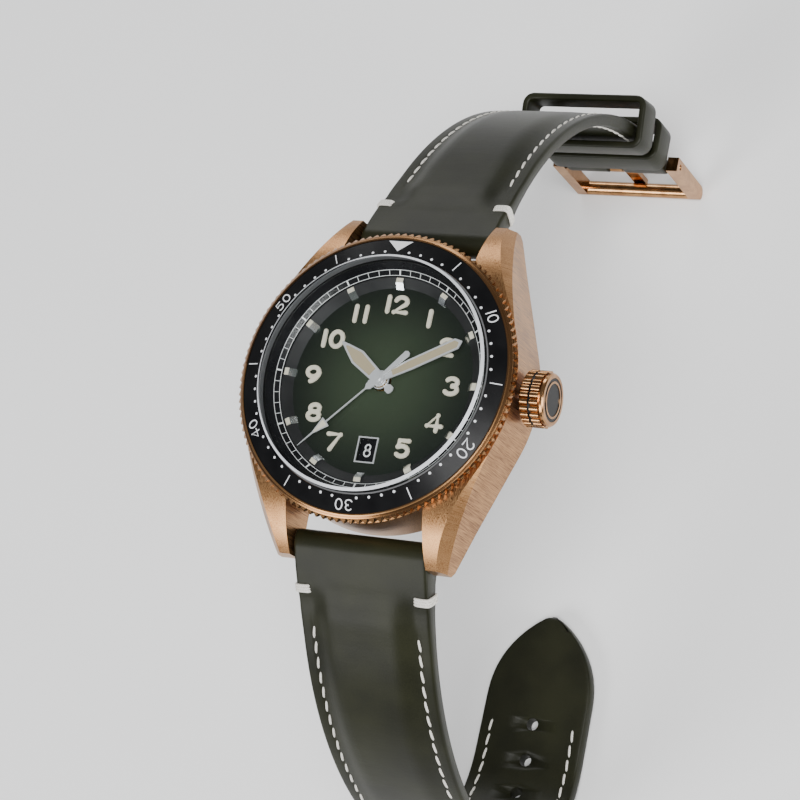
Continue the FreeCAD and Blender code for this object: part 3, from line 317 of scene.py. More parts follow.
def ruby():
    g = Graph("ruby")
    clouds = g.noise(g.place(), 3.0, 2.0)
    return g.surface(Base_Color=g.colours(clouds, (0.42, 0.01, 0.05), (0.68, 0.03, 0.12)),
                     Roughness=clouds * 0.05 + 0.05, Coat_Weight=1.0)


FINISH = {
    "bronze": brushed("bronze_brushed", BRONZE_DARK, BRONZE_LIGHT),
    "bronze_bezel": turned_metal("bronze_turned", BRONZE_DARK, BRONZE_LIGHT, 0.16, 0.34),
    "bronze_crown": polished("bronze_polished", BRONZE, BRONZE_LIGHT, 0.17),
    "ceramic": lacquer("ceramic_black", (0.003, 0.003, 0.0035), (0.006, 0.006, 0.0065), 0.17, 0.22),
    "sapphire": sapphire("sapphire_outside", 0.5),
    "sapphire_inside": sapphire("sapphire_inside", 0.02),
    "steel": turned_metal("steel_turned", (0.42, 0.42, 0.43), (0.66, 0.66, 0.67)),
    "steel_fine": polished("steel_polished", (0.55, 0.55, 0.56), (0.75, 0.75, 0.76), 0.16),
    "gasket": paint("gasket_grey", (0.10, 0.10, 0.105), (0.17, 0.17, 0.175), 0.4),
    "lacquer": lacquer("lacquer_black", (0.003, 0.003, 0.004), (0.008, 0.008, 0.009), 0.2, 0.2),
    "hour_ring": lacquer("hour_ring_grey", (0.014, 0.014, 0.0145), (0.026, 0.026, 0.0265), 0.38, 0.2),
    "dial": dial_green(),
    "rhodium": polished("rhodium", (0.62, 0.63, 0.65), (0.86, 0.87, 0.88), 0.09),
    "silver": silver_hands(),
    # The crystal's bevel: a pale ring of painted highlight.
    "crystal_edge": crystal_edge(),
    "lume": lume(),
    "hand_lume": paint("hand_lume_tan", (0.34, 0.275, 0.175), (0.43, 0.36, 0.24), 0.55),
    "plate": striped("rhodium_striped", (0.44, 0.43, 0.41), (0.70, 0.69, 0.66)),
    "rotor": striped("tungsten_striped", (0.26, 0.26, 0.27), (0.52, 0.52, 0.53), 2.4),
    "ruby": ruby(),
    "gilt": polished("gilt", (0.55, 0.38, 0.14), (0.78, 0.58, 0.26), 0.18),
    "leather": leather("leather_olive", (0.0068, 0.0072, 0.0030), (0.017, 0.0180, 0.0078)),
    "edge_paint": leather("edge_paint", (0.006, 0.006, 0.005), (0.014, 0.014, 0.011), 0.36),
    "thread": thread(),
    "white": paint("white_print", (0.70, 0.70, 0.70), (0.88, 0.88, 0.88)),
    "grey": paint("silver_fill", (0.62, 0.63, 0.65), (0.80, 0.81, 0.83), 0.28),
    "black": lacquer("groove_black", (0.002, 0.002, 0.002), (0.006, 0.006, 0.006), 0.3, 0.15),
}

NODE_FINISH = {
    "bronze": ("mid_case",),
    "bronze_bezel": ("bezel_ring",),
    "bronze_crown": ("crown", "buckle", "buckle_tang"),
    "ceramic": ("bezel_insert",),
    "sapphire": ("crystal", "case_back_glass"),
    "steel": ("case_back", "crown_tube", "bezel_spring", "rotor_bearing"),
    "steel_fine": ("spring_bars", "buckle_bar", "winding_stem", "winding_pinion", "sliding_pinion",
                   "crown_wheel", "ratchet_wheel", "click", "setting_lever", "bridge_screws",
                   "pallet_fork", "escape_wheel", "mainspring", "hairspring"),
    "gasket": ("crystal_gasket",),
    "lacquer": ("flange_ring", "date_ring"),
    "black": ("crown_disc",),
    "hour_ring": ("hour_ring",),
    "dial": ("dial",),
    "rhodium": ("hour_markers",),
    "silver": ("date_frame", "hour_hand", "minute_hand", "seconds_hand"),
    "lume": ("marker_lume",),
    "hand_lume": ("hour_hand_lume", "minute_hand_lume"),
    "plate": ("train_bridge", "barrel_bridge", "balance_cock", "mainplate", "movement_holder"),
    "rotor": ("rotor",),
    "ruby": ("jewels",),
    "gilt": ("cannon_pinion", "hour_wheel", "minute_wheel", "fourth_wheel", "third_wheel",
             "great_wheel", "barrel", "balance_wheel"),
}
for finish, names in NODE_FINISH.items():
    for name in names:
        data = nodes[name].data
        data.materials.clear()
        data.materials.append(FINISH[finish])


# ---------------------------------------------------------------- mesh helpers
def add(name, mesh, finish, body):
    """A finished piece at the origin, riding on its body."""
    piece = bpy.data.objects.new(name, mesh)
    bpy.context.scene.collection.objects.link(piece)
    if finish:
        mesh.materials.clear()
        mesh.materials.append(FINISH[finish])
    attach(piece, body)
    return piece


def mesh_from(name, points, faces, smooth=True):
    mesh = bpy.data.meshes.new(name)
    mesh.from_pydata([Vector(p) * MM for p in points], [], faces)
    mesh.polygons.foreach_set("use_smooth", [smooth] * len(faces))
    mesh.update()
    return mesh


def repaired(mesh):
    """Merges doubles and points every face outwards."""
    work = bmesh.new()
    work.from_mesh(mesh)
    bmesh.ops.remove_doubles(work, verts=work.verts, dist=1e-7)
    bmesh.ops.recalc_face_normals(work, faces=work.faces)
    work.to_mesh(mesh)
    work.free()
    return mesh


def merged(name, meshes):
    """One mesh from several."""
    work = bmesh.new()
    for mesh in meshes:
        work.from_mesh(mesh)
    mesh = bpy.data.meshes.new(name)
    work.to_mesh(mesh)
    work.free()
    for part in meshes:
        bpy.data.meshes.remove(part)
    return mesh


def plain_mesh(source):
    """The evaluated shape of an object as a mesh of its own; the object goes."""
    depsgraph = bpy.context.evaluated_depsgraph_get()
    mesh = bpy.data.meshes.new_from_object(source.evaluated_get(depsgraph))
    bpy.data.objects.remove(source)
    return mesh


def prism(outline, z0, z1, matrix=Matrix()):
    """A flat plate from a closed outline of (x, y) points."""
    work = bmesh.new()
    corners = [work.verts.new((x * MM, y * MM, z0 * MM)) for x, y in outline]
    face = work.faces.new(corners)
    grown = bmesh.ops.extrude_face_region(work, geom=[face])
    for vert in grown["geom"]:
        if isinstance(vert, bmesh.types.BMVert):
            vert.co.z = z1 * MM
    bmesh.ops.recalc_face_normals(work, faces=work.faces)
    mesh = bpy.data.meshes.new("plate")
    work.to_mesh(mesh)
    work.free()
    mesh.transform(matrix)
    return mesh


def annulus(inner, outer, z_in, z_out, height, segments=240):
    """A thin printed ring that may lie on a cone."""
    points = []
    for i in range(segments):
        a = math.tau * i / segments
        for radius, z in ((inner, z_in), (outer, z_out), (outer, z_out + height), (inner, z_in + height)):
            points.append((radius * math.cos(a), radius * math.sin(a), z))
    faces = []
    for i in range(segments):
        j = (i + 1) % segments
        for k in range(4):
            m = (k + 1) % 4
            faces.append((4 * i + k, 4 * i + m, 4 * j + m, 4 * j + k))
    return repaired(mesh_from("ring", points, faces))


def clock_place(hours, radius, z, tilt=0.0):
    """Matrix that takes a mark at the origin to a clock position; its +Y points outwards."""
    angle = -math.tau * hours / 12.0
    turn = Matrix.Rotation(angle, 4, "Z")
    lean = Matrix.Rotation(tilt, 4, "X")
    return turn @ Matrix.Translation((0, radius * MM, z * MM)) @ lean


# ---------------------------------------------------------------- stroke numerals
def bend(cx, cy, rx, ry, start, stop, count=9):
    """Points on an ellipse arc, angles in degrees."""
    out = []
    for i in range(count):
        a = math.radians(start + (stop - start) * i / (count - 1))
        out.append((cx + rx * math.cos(a), cy + ry * math.sin(a)))
    return out


DIGITS = {
    "0": [bend(0, 0, 0.30, 0.5, 90, 450, 25)],
    "1": [[(0, -0.5), (0, 0.5)]],
    "2": [bend(0, 0.2, 0.29, 0.3, 165, -35, 12) + [(-0.3, -0.5), (0.32, -0.5)]],
    "3": [bend(-0.02, 0.24, 0.27, 0.26, 150, -80, 11), bend(-0.02, -0.23, 0.31, 0.27, 80, -150, 12)],
    "4": [[(0.13, -0.5), (0.13, 0.5), (-0.34, -0.2), (0.36, -0.2)]],
    "5": [[(0.27, 0.5), (-0.2, 0.5), (-0.25, 0.08)] + bend(-0.02, -0.17, 0.3, 0.33, 125, -140, 12)],
    "6": [bend(0.02, -0.19, 0.29, 0.31, 0, 360, 19), bend(0.36, -0.2, 0.66, 0.7, 178, 115, 7)],
    "7": [[(-0.3, 0.5), (0.32, 0.5), (-0.1, -0.5)]],
    "8": [bend(0, 0.26, 0.24, 0.24, 0, 360, 19), bend(0, -0.23, 0.29, 0.27, 0, 360, 19)],
    "9": [bend(-0.02, 0.19, 0.29, 0.31, 0, 360, 19), bend(-0.36, 0.2, 0.66, 0.7, -2, -65, 7)],
}


def digit_width(digit):
    return 0.0 if digit == "1" else 0.6


def corner_places(line):
    """Ends and sharp corners of a pen line, where it needs a round joint."""
    if math.dist(line[0], line[-1]) < 1e-6:
        return []
    places = [line[0], line[-1]]
    for before, here, after in zip(line, line[1:], line[2:]):
        first = Vector((here[0] - before[0], here[1] - before[1]))
        second = Vector((after[0] - here[0], after[1] - here[1]))
        if first.angle(second) > 0.6:
            places.append(here)
    return places


def round_joints(places, radius, sides):
    """Balls at the corners of a stroke."""
    work = bmesh.new()
    for place in places:
        bmesh.ops.create_uvsphere(work, u_segments=2 * sides, v_segments=sides, radius=radius,
                                  matrix=Matrix.Translation(place))
    mesh = bpy.data.meshes.new("joints")
    work.to_mesh(mesh)
    work.free()
    return mesh


def stroke_text(text, height, stroke, gap, thick, widen=1.0, fine=4):
    """Numerals drawn with a round-ended pen, lying flat at the origin with a flat top."""
    tall = height - stroke
    widths = [digit_width(d) * tall * widen + stroke for d in text]
    x = -(sum(widths) + gap * (len(text) - 1)) / 2
    parts = []
    for digit, width in zip(text, widths):
        curve = bpy.data.curves.new("stroke", "CURVE")
        curve.dimensions = "3D"
        curve.bevel_depth = stroke / 2 * MM
        curve.bevel_resolution = fine
        curve.use_fill_caps = True
        middle = x + width / 2

        def on_plate(spot):
            return (middle + spot[0] * tall * widen) * MM, spot[1] * tall * MM, 0.0

        joints = []
        for line in DIGITS[digit]:
            spline = curve.splines.new("POLY")
            spline.points.add(len(line) - 1)
            for point, spot in zip(spline.points, line):
                point.co = (*on_plate(spot), 1.0)
            joints += [on_plate(spot) for spot in corner_places(line)]
        holder = bpy.data.objects.new("stroke", curve)
        bpy.context.scene.collection.objects.link(holder)
        parts.append(plain_mesh(holder))
        parts.append(round_joints(joints, stroke / 2 * MM, 2 * fine))
        x += width + gap
    mesh = merged("numeral", parts)
    for vert in mesh.vertices:
        vert.co.z = max(min(vert.co.z / (stroke / 2 * MM) * 1.6, 1.0), -0.2) * thick * MM
    return mesh


# ---------------------------------------------------------------- repeated pieces
def node_tree(name, inputs):
    """An empty geometry tree with named inputs: {name: (socket type, default)}."""
    tree = bpy.data.node_groups.new(name, "GeometryNodeTree")
    face = tree.interface
    face.new_socket("Geometry", in_out="INPUT", socket_type="NodeSocketGeometry")
    for key, (kind, default) in inputs.items():
        socket = face.new_socket(key, in_out="INPUT", socket_type=kind)
        if default is not None:
            socket.default_value = default
    face.new_socket("Geometry", in_out="OUTPUT", socket_type="NodeSocketGeometry")
    return tree


def tree_node(tree, kind, settings=None, links=None, values=None):
    """A node of a geometry tree; links are (node, output name or number)."""
    node = tree.nodes.new(kind)
    for key, value in (settings or {}).items():
        setattr(node, key, value)
    for key, value in (values or {}).items():
        node.inputs[key].default_value = value
    for key, (source, output) in (links or {}).items():
        tree.links.new(source.outputs[output], node.inputs[key])
    return node


def finish_tree(tree, instances, start):
    """Ends a tree in real geometry with the chosen material."""
    real = tree_node(tree, "GeometryNodeRealizeInstances", links={"Geometry": (instances, "Instances")})
    painted = tree_node(tree, "GeometryNodeSetMaterial",
                        links={"Geometry": (real, "Geometry"), "Material": (start, "Material")})
    tree_node(tree, "NodeGroupOutput", links={"Geometry": (painted, "Geometry")})


def row_tree():
    """Puts the item on every point, turned by the point's own angles."""
    tree = node_tree("row_of_items", {"Item": ("NodeSocketObject", None), "Size": ("NodeSocketFloat", 1.0),
                                      "Material": ("NodeSocketMaterial", None)})
    start = tree_node(tree, "NodeGroupInput")
    item = tree_node(tree, "GeometryNodeObjectInfo", links={"Object": (start, "Item")})
    turn = tree_node(tree, "GeometryNodeInputNamedAttribute", {"data_type": "FLOAT_VECTOR"},
                     values={"Name": "turn"})
    rotation = tree_node(tree, "FunctionNodeEulerToRotation", links={"Euler": (turn, "Attribute")})
    placed = tree_node(tree, "GeometryNodeInstanceOnPoints",
                       links={"Points": (start, "Geometry"), "Instance": (item, "Geometry"),
                              "Rotation": (rotation, 0), "Scale": (start, "Size")})
    finish_tree(tree, placed, start)
    return tree


def clock_tree():
    """Puts the mark round a circle at every step, or everywhere but at the steps."""
    tree = node_tree("marks_round_dial", {"Mark": ("NodeSocketObject", None), "Count": ("NodeSocketInt", 60),
                                          "Radius": ("NodeSocketFloat", 0.01), "Step": ("NodeSocketInt", 5),
                                          "Leave Out Steps": ("NodeSocketBool", False),
                                          "Material": ("NodeSocketMaterial", None)})
    start = tree_node(tree, "NodeGroupInput")
    circle = tree_node(tree, "GeometryNodeMeshCircle",
                       links={"Vertices": (start, "Count"), "Radius": (start, "Radius")})
    mark = tree_node(tree, "GeometryNodeObjectInfo", links={"Object": (start, "Mark")})
    index = tree_node(tree, "GeometryNodeInputIndex")
    left = tree_node(tree, "ShaderNodeMath", {"operation": "MODULO"}, {0: (index, 0), 1: (start, "Step")})
    on_step = tree_node(tree, "FunctionNodeCompare", {"data_type": "FLOAT", "operation": "LESS_THAN"},
                        {"A": (left, 0)}, {"B": 0.5})
    chosen = tree_node(tree, "FunctionNodeBooleanMath", {"operation": "XOR"},
                       {0: (on_step, 0), 1: (start, "Leave Out Steps")})
    share = tree_node(tree, "ShaderNodeMath", {"operation": "DIVIDE"}, {0: (index, 0), 1: (start, "Count")})
    angle = tree_node(tree, "ShaderNodeMath", {"operation": "MULTIPLY"}, {0: (share, 0)}, {1: math.tau})
    turn = tree_node(tree, "ShaderNodeCombineXYZ", links={"Z": (angle, 0)})
    rotation = tree_node(tree, "FunctionNodeEulerToRotation", links={"Euler": (turn, 0)})
    placed = tree_node(tree, "GeometryNodeInstanceOnPoints",
                       links={"Points": (circle, "Mesh"), "Selection": (chosen, 0),
                              "Instance": (mark, "Geometry"), "Rotation": (rotation, 0)})
    finish_tree(tree, placed, start)
    return tree


def grown(tree, base, item, finish, **settings):
    """Runs a tree on a base mesh with an item and returns the plain mesh."""
    tool = bpy.data.objects.new("item", item)
    bpy.context.scene.collection.objects.link(tool)
    holder = bpy.data.objects.new("grown", base)
    bpy.context.scene.collection.objects.link(holder)
    modifier = holder.modifiers.new("nodes", "NODES")
    modifier.node_group = tree
    named = {key.replace("_", " "): value for key, value in settings.items()}
    named["Item" if tree == ROW else "Mark"] = tool
    named["Material"] = FINISH[finish]
    for socket in tree.interface.items_tree:
        if socket.in_out == "INPUT" and socket.name in named:
            modifier[socket.identifier] = named[socket.name]
    mesh = plain_mesh(holder)
    bpy.data.objects.remove(tool)
    return mesh


ROW = row_tree()
CLOCK = clock_tree()


def in_a_row(places, item, finish):
    """Items on a list of matrices."""
    base = bpy.data.meshes.new("points")
    base.from_pydata([place.to_translation() for place in places], [], [])
    turn = base.attributes.new("turn", "FLOAT_VECTOR", "POINT")
    for slot, place in zip(turn.data, places):
        slot.vector = place.to_euler()
    return grown(ROW, base, item, finish, Size=1.0)


def round_dial(item, finish, radius, count, step, leave_out):
    """Marks round the dial; the mark's +X points outwards and its height is its own."""
    base = bpy.data.meshes.new("empty")
    return grown(CLOCK, base, item, finish, Radius=radius * MM, Count=count, Step=step,
                 Leave_Out_Steps=leave_out)


# ---------------------------------------------------------------- strap
def smooth(value, start, stop):
    t = min(max((value - start) / (stop - start), 0.0), 1.0)
    return t * t * (3 - 2 * t)


def between(value, table):
    """A smooth run through (position, amount) pairs."""
    for (a, low), (b, high) in zip(table, table[1:]):
        if value <= b:
            return low + (high - low) * smooth(value, a, b)
    return table[-1][1]


class StrapHalf:
    """The line of one strap half and what lies on it."""

    def __init__(self, side, length, first, tail_drop, top, under, padding):
        self.side = side
        self.length = length
        self.top = top
        self.under = under
        self.padding = padding
        self.line = []
        y, z, heading = BAR_Y, BAR_Z, first
        curl_stop = 10 + (first + 90.0) / STRAP_TURN
        for i in range(int(length) + 6):
            self.line.append((y, z, heading))
            step = i + 1
            if 10 < step <= curl_stop:
                heading = max(heading - STRAP_TURN, -90.0)
            if tail_drop is not None and step > curl_stop + tail_drop:
                heading = max(heading - math.degrees(1 / TAIL_R), -180.0)
            y += math.cos(math.radians(heading))
            z += math.sin(math.radians(heading))

    def station(self, s):
        """(y, z, heading) at a distance along the line."""
        if s < 0:
            y, z, heading = self.line[0]
            turn = math.radians(heading)
            return y + s * math.cos(turn), z + s * math.sin(turn), heading
        i = min(int(s), len(self.line) - 2)
        share = s - i
        return tuple(a + (b - a) * share for a, b in zip(self.line[i], self.line[i + 1]))

    def half_width(self, s):
        share = min(max(s, 0.0) / self.length, 1.0)
        return (STRAP_WIDTH + (STRAP_END_WIDTH - STRAP_WIDTH) * share) / 2

    def frame(self, s, x, n):
        """Matrix at a place on the strap: X across, Y along, Z out of the leather."""
        y, z, heading = self.station(s)
        turn = math.radians(heading)
        along = Vector((0, self.side * math.cos(turn), math.sin(turn)))
        out = Vector((0, -self.side * math.sin(turn), math.cos(turn)))
        place = Vector((x, self.side * y, z)) + out * n
        across = along.cross(out)
        return Matrix.Translation(place * MM) @ Matrix((across, along, out)).transposed().to_4x4()

    def top_at(self, s, from_edge):
        """Height of the upper face at a distance in from the edge."""
        pad = between(s, self.padding) * smooth(from_edge, 2.1, 5.4)
        groove = 0.10 * math.exp(-((from_edge - STITCH_IN) / 0.32) ** 2) * smooth(s, 9.5, 11.5)
        return between(s, self.top) + pad - groove

    def section(self, s, width, squeeze):
        """Closed outline (x, n) at s; squeeze flattens it at a rounded end."""
        edge_r = min(0.42, 0.35 * width)
        fit = min(1.0, width / 8.2)
        top_edge, under = between(s, self.top), -between(s, self.under)
        right = []
        for i in range(5):
            a = math.pi / 2 * i / 4
            right.append((width - edge_r + edge_r * math.cos(a), top_edge - edge_r + edge_r * math.sin(a)))
        for inward in (0.7, 1.0, 1.3, 1.55, 1.75, 1.9, 2.05, 2.25, 2.5, 3.0, 3.6, 4.3, 5.2, 6.2, 7.2):
            right.append((width - inward * fit, self.top_at(s, inward * fit)))
        bottom = [(0.0, under), (width * 0.5, under), (width - 2.2 * fit, under), (width - 0.9 * fit, under)]
        for i in range(4):
            a = -math.pi / 2 + math.pi / 2 * i / 3
            bottom.append((width - edge_r + edge_r * math.cos(a), under + edge_r + edge_r * math.sin(a)))
        upper = right + [(0.0, self.top_at(s, 8.0))] + [(-x, n) for x, n in reversed(right)]
        lower = [(-x, n) for x, n in reversed(bottom[1:])] + bottom[:-1]
        middle = (top_edge + under) / 2 if s > 1 else 0.0
        return [(x, middle + (n - middle) * squeeze) for x, n in upper + lower]

    def shell(self, stations):
        """The leather itself from (s, width, squeeze) stations."""
        points, count = [], 0
        for s, width, squeeze in stations:
            outline = self.section(s, width, squeeze)
            count = len(outline)
            for x, n in outline:
                points.append(self.frame(s, x, n).to_translation() / MM)
        faces = []
        for i in range(len(stations) - 1):
            for k in range(count):
                m = (k + 1) % count
                faces.append((i * count + k, i * count + m, (i + 1) * count + m, (i + 1) * count + k))
        faces.append(tuple(range(count)))
        faces.append(tuple(reversed(range(len(points) - count, len(points)))))
        return repaired(mesh_from("leather", points, faces))


STITCH_IN = 1.9                   # stitch rows lie this far in from the edge
EDGE_TOP = ((0.0, 2.0), (3.0, 2.0), (5.5, 1.9), (8.0, 1.5), (14.0, 1.2))
NOSE = ((-2.0, 0.02), (-1.92, 0.28), (-1.75, 0.484), (-1.45, 0.69), (-1.0, 0.866), (-0.5, 0.968), (0.0, 1.0))

EDGE_UNDER = ((0.0, 2.0), (1.0, 1.9), (5.0, 0.95), (9.0, 0.6))
PADDING = ((3.0, 0.0), (10.0, 1.0), (24.0, 1.0))

short_half = StrapHalf(1, SHORT_LENGTH, -29.0, None, EDGE_TOP,
                       EDGE_UNDER + ((40.0, 0.6), (60.0, 1.0), (72.0, 1.2)), PADDING + ((52.0, 0.0),))
long_half = StrapHalf(-1, LONG_LENGTH, -33.0, 2, EDGE_TOP,
                      EDGE_UNDER + ((50.0, 0.6), (70.0, 1.1)), PADDING + ((56.0, 0.0),))


def cut_from(mesh, cutter):
    """A mesh with a cutter's shape taken out of it."""
    body = bpy.data.objects.new("body", mesh)
    tool = bpy.data.objects.new("tool", cutter)
    for item in (body, tool):
        bpy.context.scene.collection.objects.link(item)
    boolean = body.modifiers.new("cut", "BOOLEAN")
    boolean.object = tool
    boolean.operation = "DIFFERENCE"
    boolean.solver = "EXACT"
    result = plain_mesh(body)
    bpy.data.objects.remove(tool)
    return result


def short_strap():
    """The buckle half, folded round the buckle's bar with a slot for the tang."""
    stations = [(s, short_half.half_width(0.0), squeeze) for s, squeeze in NOSE]
    stations += [(float(s), short_half.half_width(s), 1.0) for s in range(1, 76)]
    end_r = 1.25
    bar_s = 76.6
    for share in (-0.6, 0.0, 0.4, 0.65, 0.85, 0.96, 1.0):
        squeeze = math.sqrt(max(1 - share * share, 0.0004)) if share > 0 else 1.0
        stations.append((bar_s + share * end_r, short_half.half_width(75.0), squeeze))
    mesh = short_half.shell(stations)
    slot = prism(bend(0, 2.2, 1.5, 1.5, 180, 0, 13) + [(1.5, -5.0), (-1.5, -5.0)], -4.0, 4.0)
    slot.transform(short_half.frame(bar_s - 0.6, 0, 0) @ Matrix.Rotation(math.pi, 4, "Z"))
    return cut_from(mesh, slot)


TIP_START = 103.0
HOLES = [64.0 + 6.0 * i for i in range(7)]


def long_strap():
    """The hole half, with a pointed tip."""
    stations = [(s, long_half.half_width(0.0), squeeze) for s, squeeze in NOSE]
    stations += [(float(s), long_half.half_width(s), 1.0) for s in range(1, int(TIP_START))]
    run = long_half.length - TIP_START
    for i in range(25):
        share = math.sin(math.pi / 2 * i / 24)
        width = long_half.half_width(TIP_START) * math.cos(math.pi / 2 * share ** 1.25) ** 0.72
        stations.append((TIP_START + run * share, max(width, 0.35), 1.0 - 0.7 * smooth(share, 0.97, 1.0)))
    mesh = long_half.shell(stations)
    pin = prism(bend(0, 0, 1.0, 1.0, 0, 345, 24), -4.0, 4.0)
    drills = in_a_row([long_half.frame(s, 0, 0) for s in HOLES], pin, "edge_paint")
    return cut_from(mesh, drills)


def stitch():
    """One flattened stitch, 2 mm long, its ends dipping into the leather."""
    points, faces = [], []
    rings, around = 9, 8
    for i in range(rings):
        share = i / (rings - 1) * 2 - 1
        swell = math.sqrt(max(1 - share ** 4, 0.02))
        for k in range(around):
            a = math.tau * k / around
            points.append((0.20 * swell * math.cos(a), 1.02 * share,
                           0.17 * swell * math.sin(a) + 0.10 * (1 - share * share) - 0.04))
    for i in range(rings - 1):
        for k in range(around):
            m = (k + 1) % around
            faces.append((i * around + k, i * around + m, (i + 1) * around + m, (i + 1) * around + k))
    faces.append(tuple(range(around)))
    faces.append(tuple(reversed(range(len(points) - around, len(points)))))
    return repaired(mesh_from("stitch", points, faces))


def stitch_row(half, start, stop, under=False):
    """Both rows of a strap half, on the face or the lining."""
    places = []
    pitch = 2.4
    for side in (1, -1):
        for i in range(int((stop - start) / pitch)):
            s = start + pitch * i
            width = half.half_width(s)
            x = side * (width - STITCH_IN)
            if under:
                place = half.frame(s, x, -between(s, half.under)) @ Matrix.Rotation(math.pi, 4, "Y")
            else:
                place = half.frame(s, x, half.top_at(s, STITCH_IN))
            places.append(place @ Matrix.Rotation(math.radians(7.0 * side), 4, "Z"))
    return in_a_row(places, stitch(), "thread")


def tube(points, radius, resolution=3):
    """A round tube through points given in metres."""
    curve = bpy.data.curves.new("tube", "CURVE")
    curve.dimensions = "3D"
    curve.bevel_depth = radius
    curve.bevel_resolution = resolution
    curve.use_fill_caps = True
    spline = curve.splines.new("NURBS")
    spline.points.add(len(points) - 1)
    for point, place in zip(spline.points, points):
        point.co = (*place, 1.0)
    spline.order_u = 3
    spline.use_endpoint_u = True
    holder = bpy.data.objects.new("tube", curve)
    bpy.context.scene.collection.objects.link(holder)
    return repaired(plain_mesh(holder))


def bar_tacks(half):
    """Thick strands that wrap over both edges near the lugs."""
    strands = []
    for side in (1, -1):
        for i in range(3):
            s = 5.55 + 0.42 * i
            width = half.half_width(s)
            top, under = between(s, half.top), -between(s, half.under)
            lift = 0.08
            over = [(-2.0 - 0.1 * i, top - 0.35), (-1.95, top + lift), (-1.2, top + lift),
                    (-0.2, top + lift)]
            round_edge = [(0.12, top - 0.25), (0.14, (top + under) / 2), (0.12, under + 0.25)]
            below = [(-0.2, under - lift), (-1.2, under - lift), (-1.9, under + 0.3)]
            points = []
            for k, (x, n) in enumerate(over + round_edge + below):
                points.append(half.frame(s + 0.02 * k, side * (width + x), n).to_translation())
            strands.append(tube(points, 0.23 * MM))
    return merged("tacks", strands)


def keeper_loop(half, s, inner, inside, outside):
    """A leather loop with rounded edges; no stitches are drawn on it."""
    wall, half_long, corner = 1.1, 2.6, 1.3
    x_far, low, high = inner / 2 + wall / 2, -inside - wall / 2, outside + wall / 2
    path = []
    for cx, cy, start in ((x_far - corner, high - corner, 0), (-x_far + corner, high - corner, 90),
                          (-x_far + corner, low + corner, 180), (x_far - corner, low + corner, 270)):
        for i in range(7):
            a = math.radians(start + 90 * i / 6)
            path.append((cx + corner * math.cos(a), cy + corner * math.sin(a), math.cos(a), math.sin(a)))
    profile = []
    edge = 0.32
    flat_x, flat_y = wall / 2 - edge, half_long - edge
    for cx, cy, start in ((flat_x, flat_y, 0), (-flat_x, flat_y, 90),
                          (-flat_x, -flat_y, 180), (flat_x, -flat_y, 270)):
        for i in range(4):
            a = math.radians(start + 30 * i)
            profile.append((cx + edge * math.cos(a), cy + edge * math.sin(a)))
    points, faces = [], []
    for px, py, nx, ny in path:
        for out, along in profile:
            points.append((px + nx * out, along, py + ny * out))
    n, m = len(path), len(profile)
    for i in range(n):
        for k in range(m):
            a, b = (i + 1) % n, (k + 1) % m
            faces.append((i * m + k, i * m + b, a * m + b, a * m + k))
    mesh = repaired(mesh_from("loop", points, faces))
    mesh.transform(half.frame(s, 0, 0))
    return mesh


for half, name, body, shell, stop in ((short_half, "strap_12", "strap_12", short_strap(), 66.0),
                                      (long_half, "strap_6", "strap_6", long_strap(), 103.0)):
    leather_piece = add(name + "_leather", shell, "leather", body)
    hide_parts(name)
    add(name + "_stitches", stitch_row(half, 12.6, stop), None, body)
    add(name + "_lining_stitches", stitch_row(half, 12.6, stop, True), None, body)
    add(name + "_bar_tacks", bar_tacks(half), "thread", body)
for name, body, s, sizes in (("keeper_fixed", "strap_12", 70.0, (18.1, 1.25, 4.0)),
                             ("keeper_free", "keeper", 61.0, (19.2, 1.9, 4.6))):
    loop = add(name + "_leather", keeper_loop(short_half, s, *sizes), "leather", body)
    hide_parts(name)


# ---------------------------------------------------------------- dial, flange and date marks
HOUR_PLACES = {"12": (0.0, 11.2), "1": (5.35, 9.5), "2": (8.78, 5.54), "3": (10.74, 0.08),
               "4": (9.30, -5.31), "5": (5.35, -9.30), "7": (-5.4, -9.3), "8": (-9.3, -5.31),
               "9": (-10.74, 0.08), "10": (-8.78, 5.54), "11": (-5.37, 9.5)}


def softened(mesh, voxel, passes):
    """Joins the strokes of a numeral into one smooth solid."""
    mesh.transform(Matrix.Scale(1 / MM, 4))
    holder = bpy.data.objects.new("numeral", mesh)
    bpy.context.scene.collection.objects.link(holder)
    remesh = holder.modifiers.new("join", "REMESH")
    remesh.mode = "VOXEL"
    remesh.voxel_size = voxel
    relax = holder.modifiers.new("relax", "SMOOTH")
    relax.iterations = passes
    result = plain_mesh(holder)
    result.transform(Matrix.Scale(MM, 4))
    result.polygons.foreach_set("use_smooth", [True] * len(result.polygons))
    return result


def hour_numerals():
    """Raised upright numerals; the date window stands in for 6."""
    numerals = []
    for text, (x, y) in HOUR_PLACES.items():
        gap = 0.88 if text == "11" else 0.3
        mesh = stroke_text(text, 2.95, 0.74, gap, 0.26, 1.38, 2)
        mesh = softened(mesh, 0.06, 3)
        mesh.transform(Matrix.Translation(Vector((x, y, DIAL_Z)) * MM))
        numerals.append(mesh)
    return merged("hour_numerals", numerals)


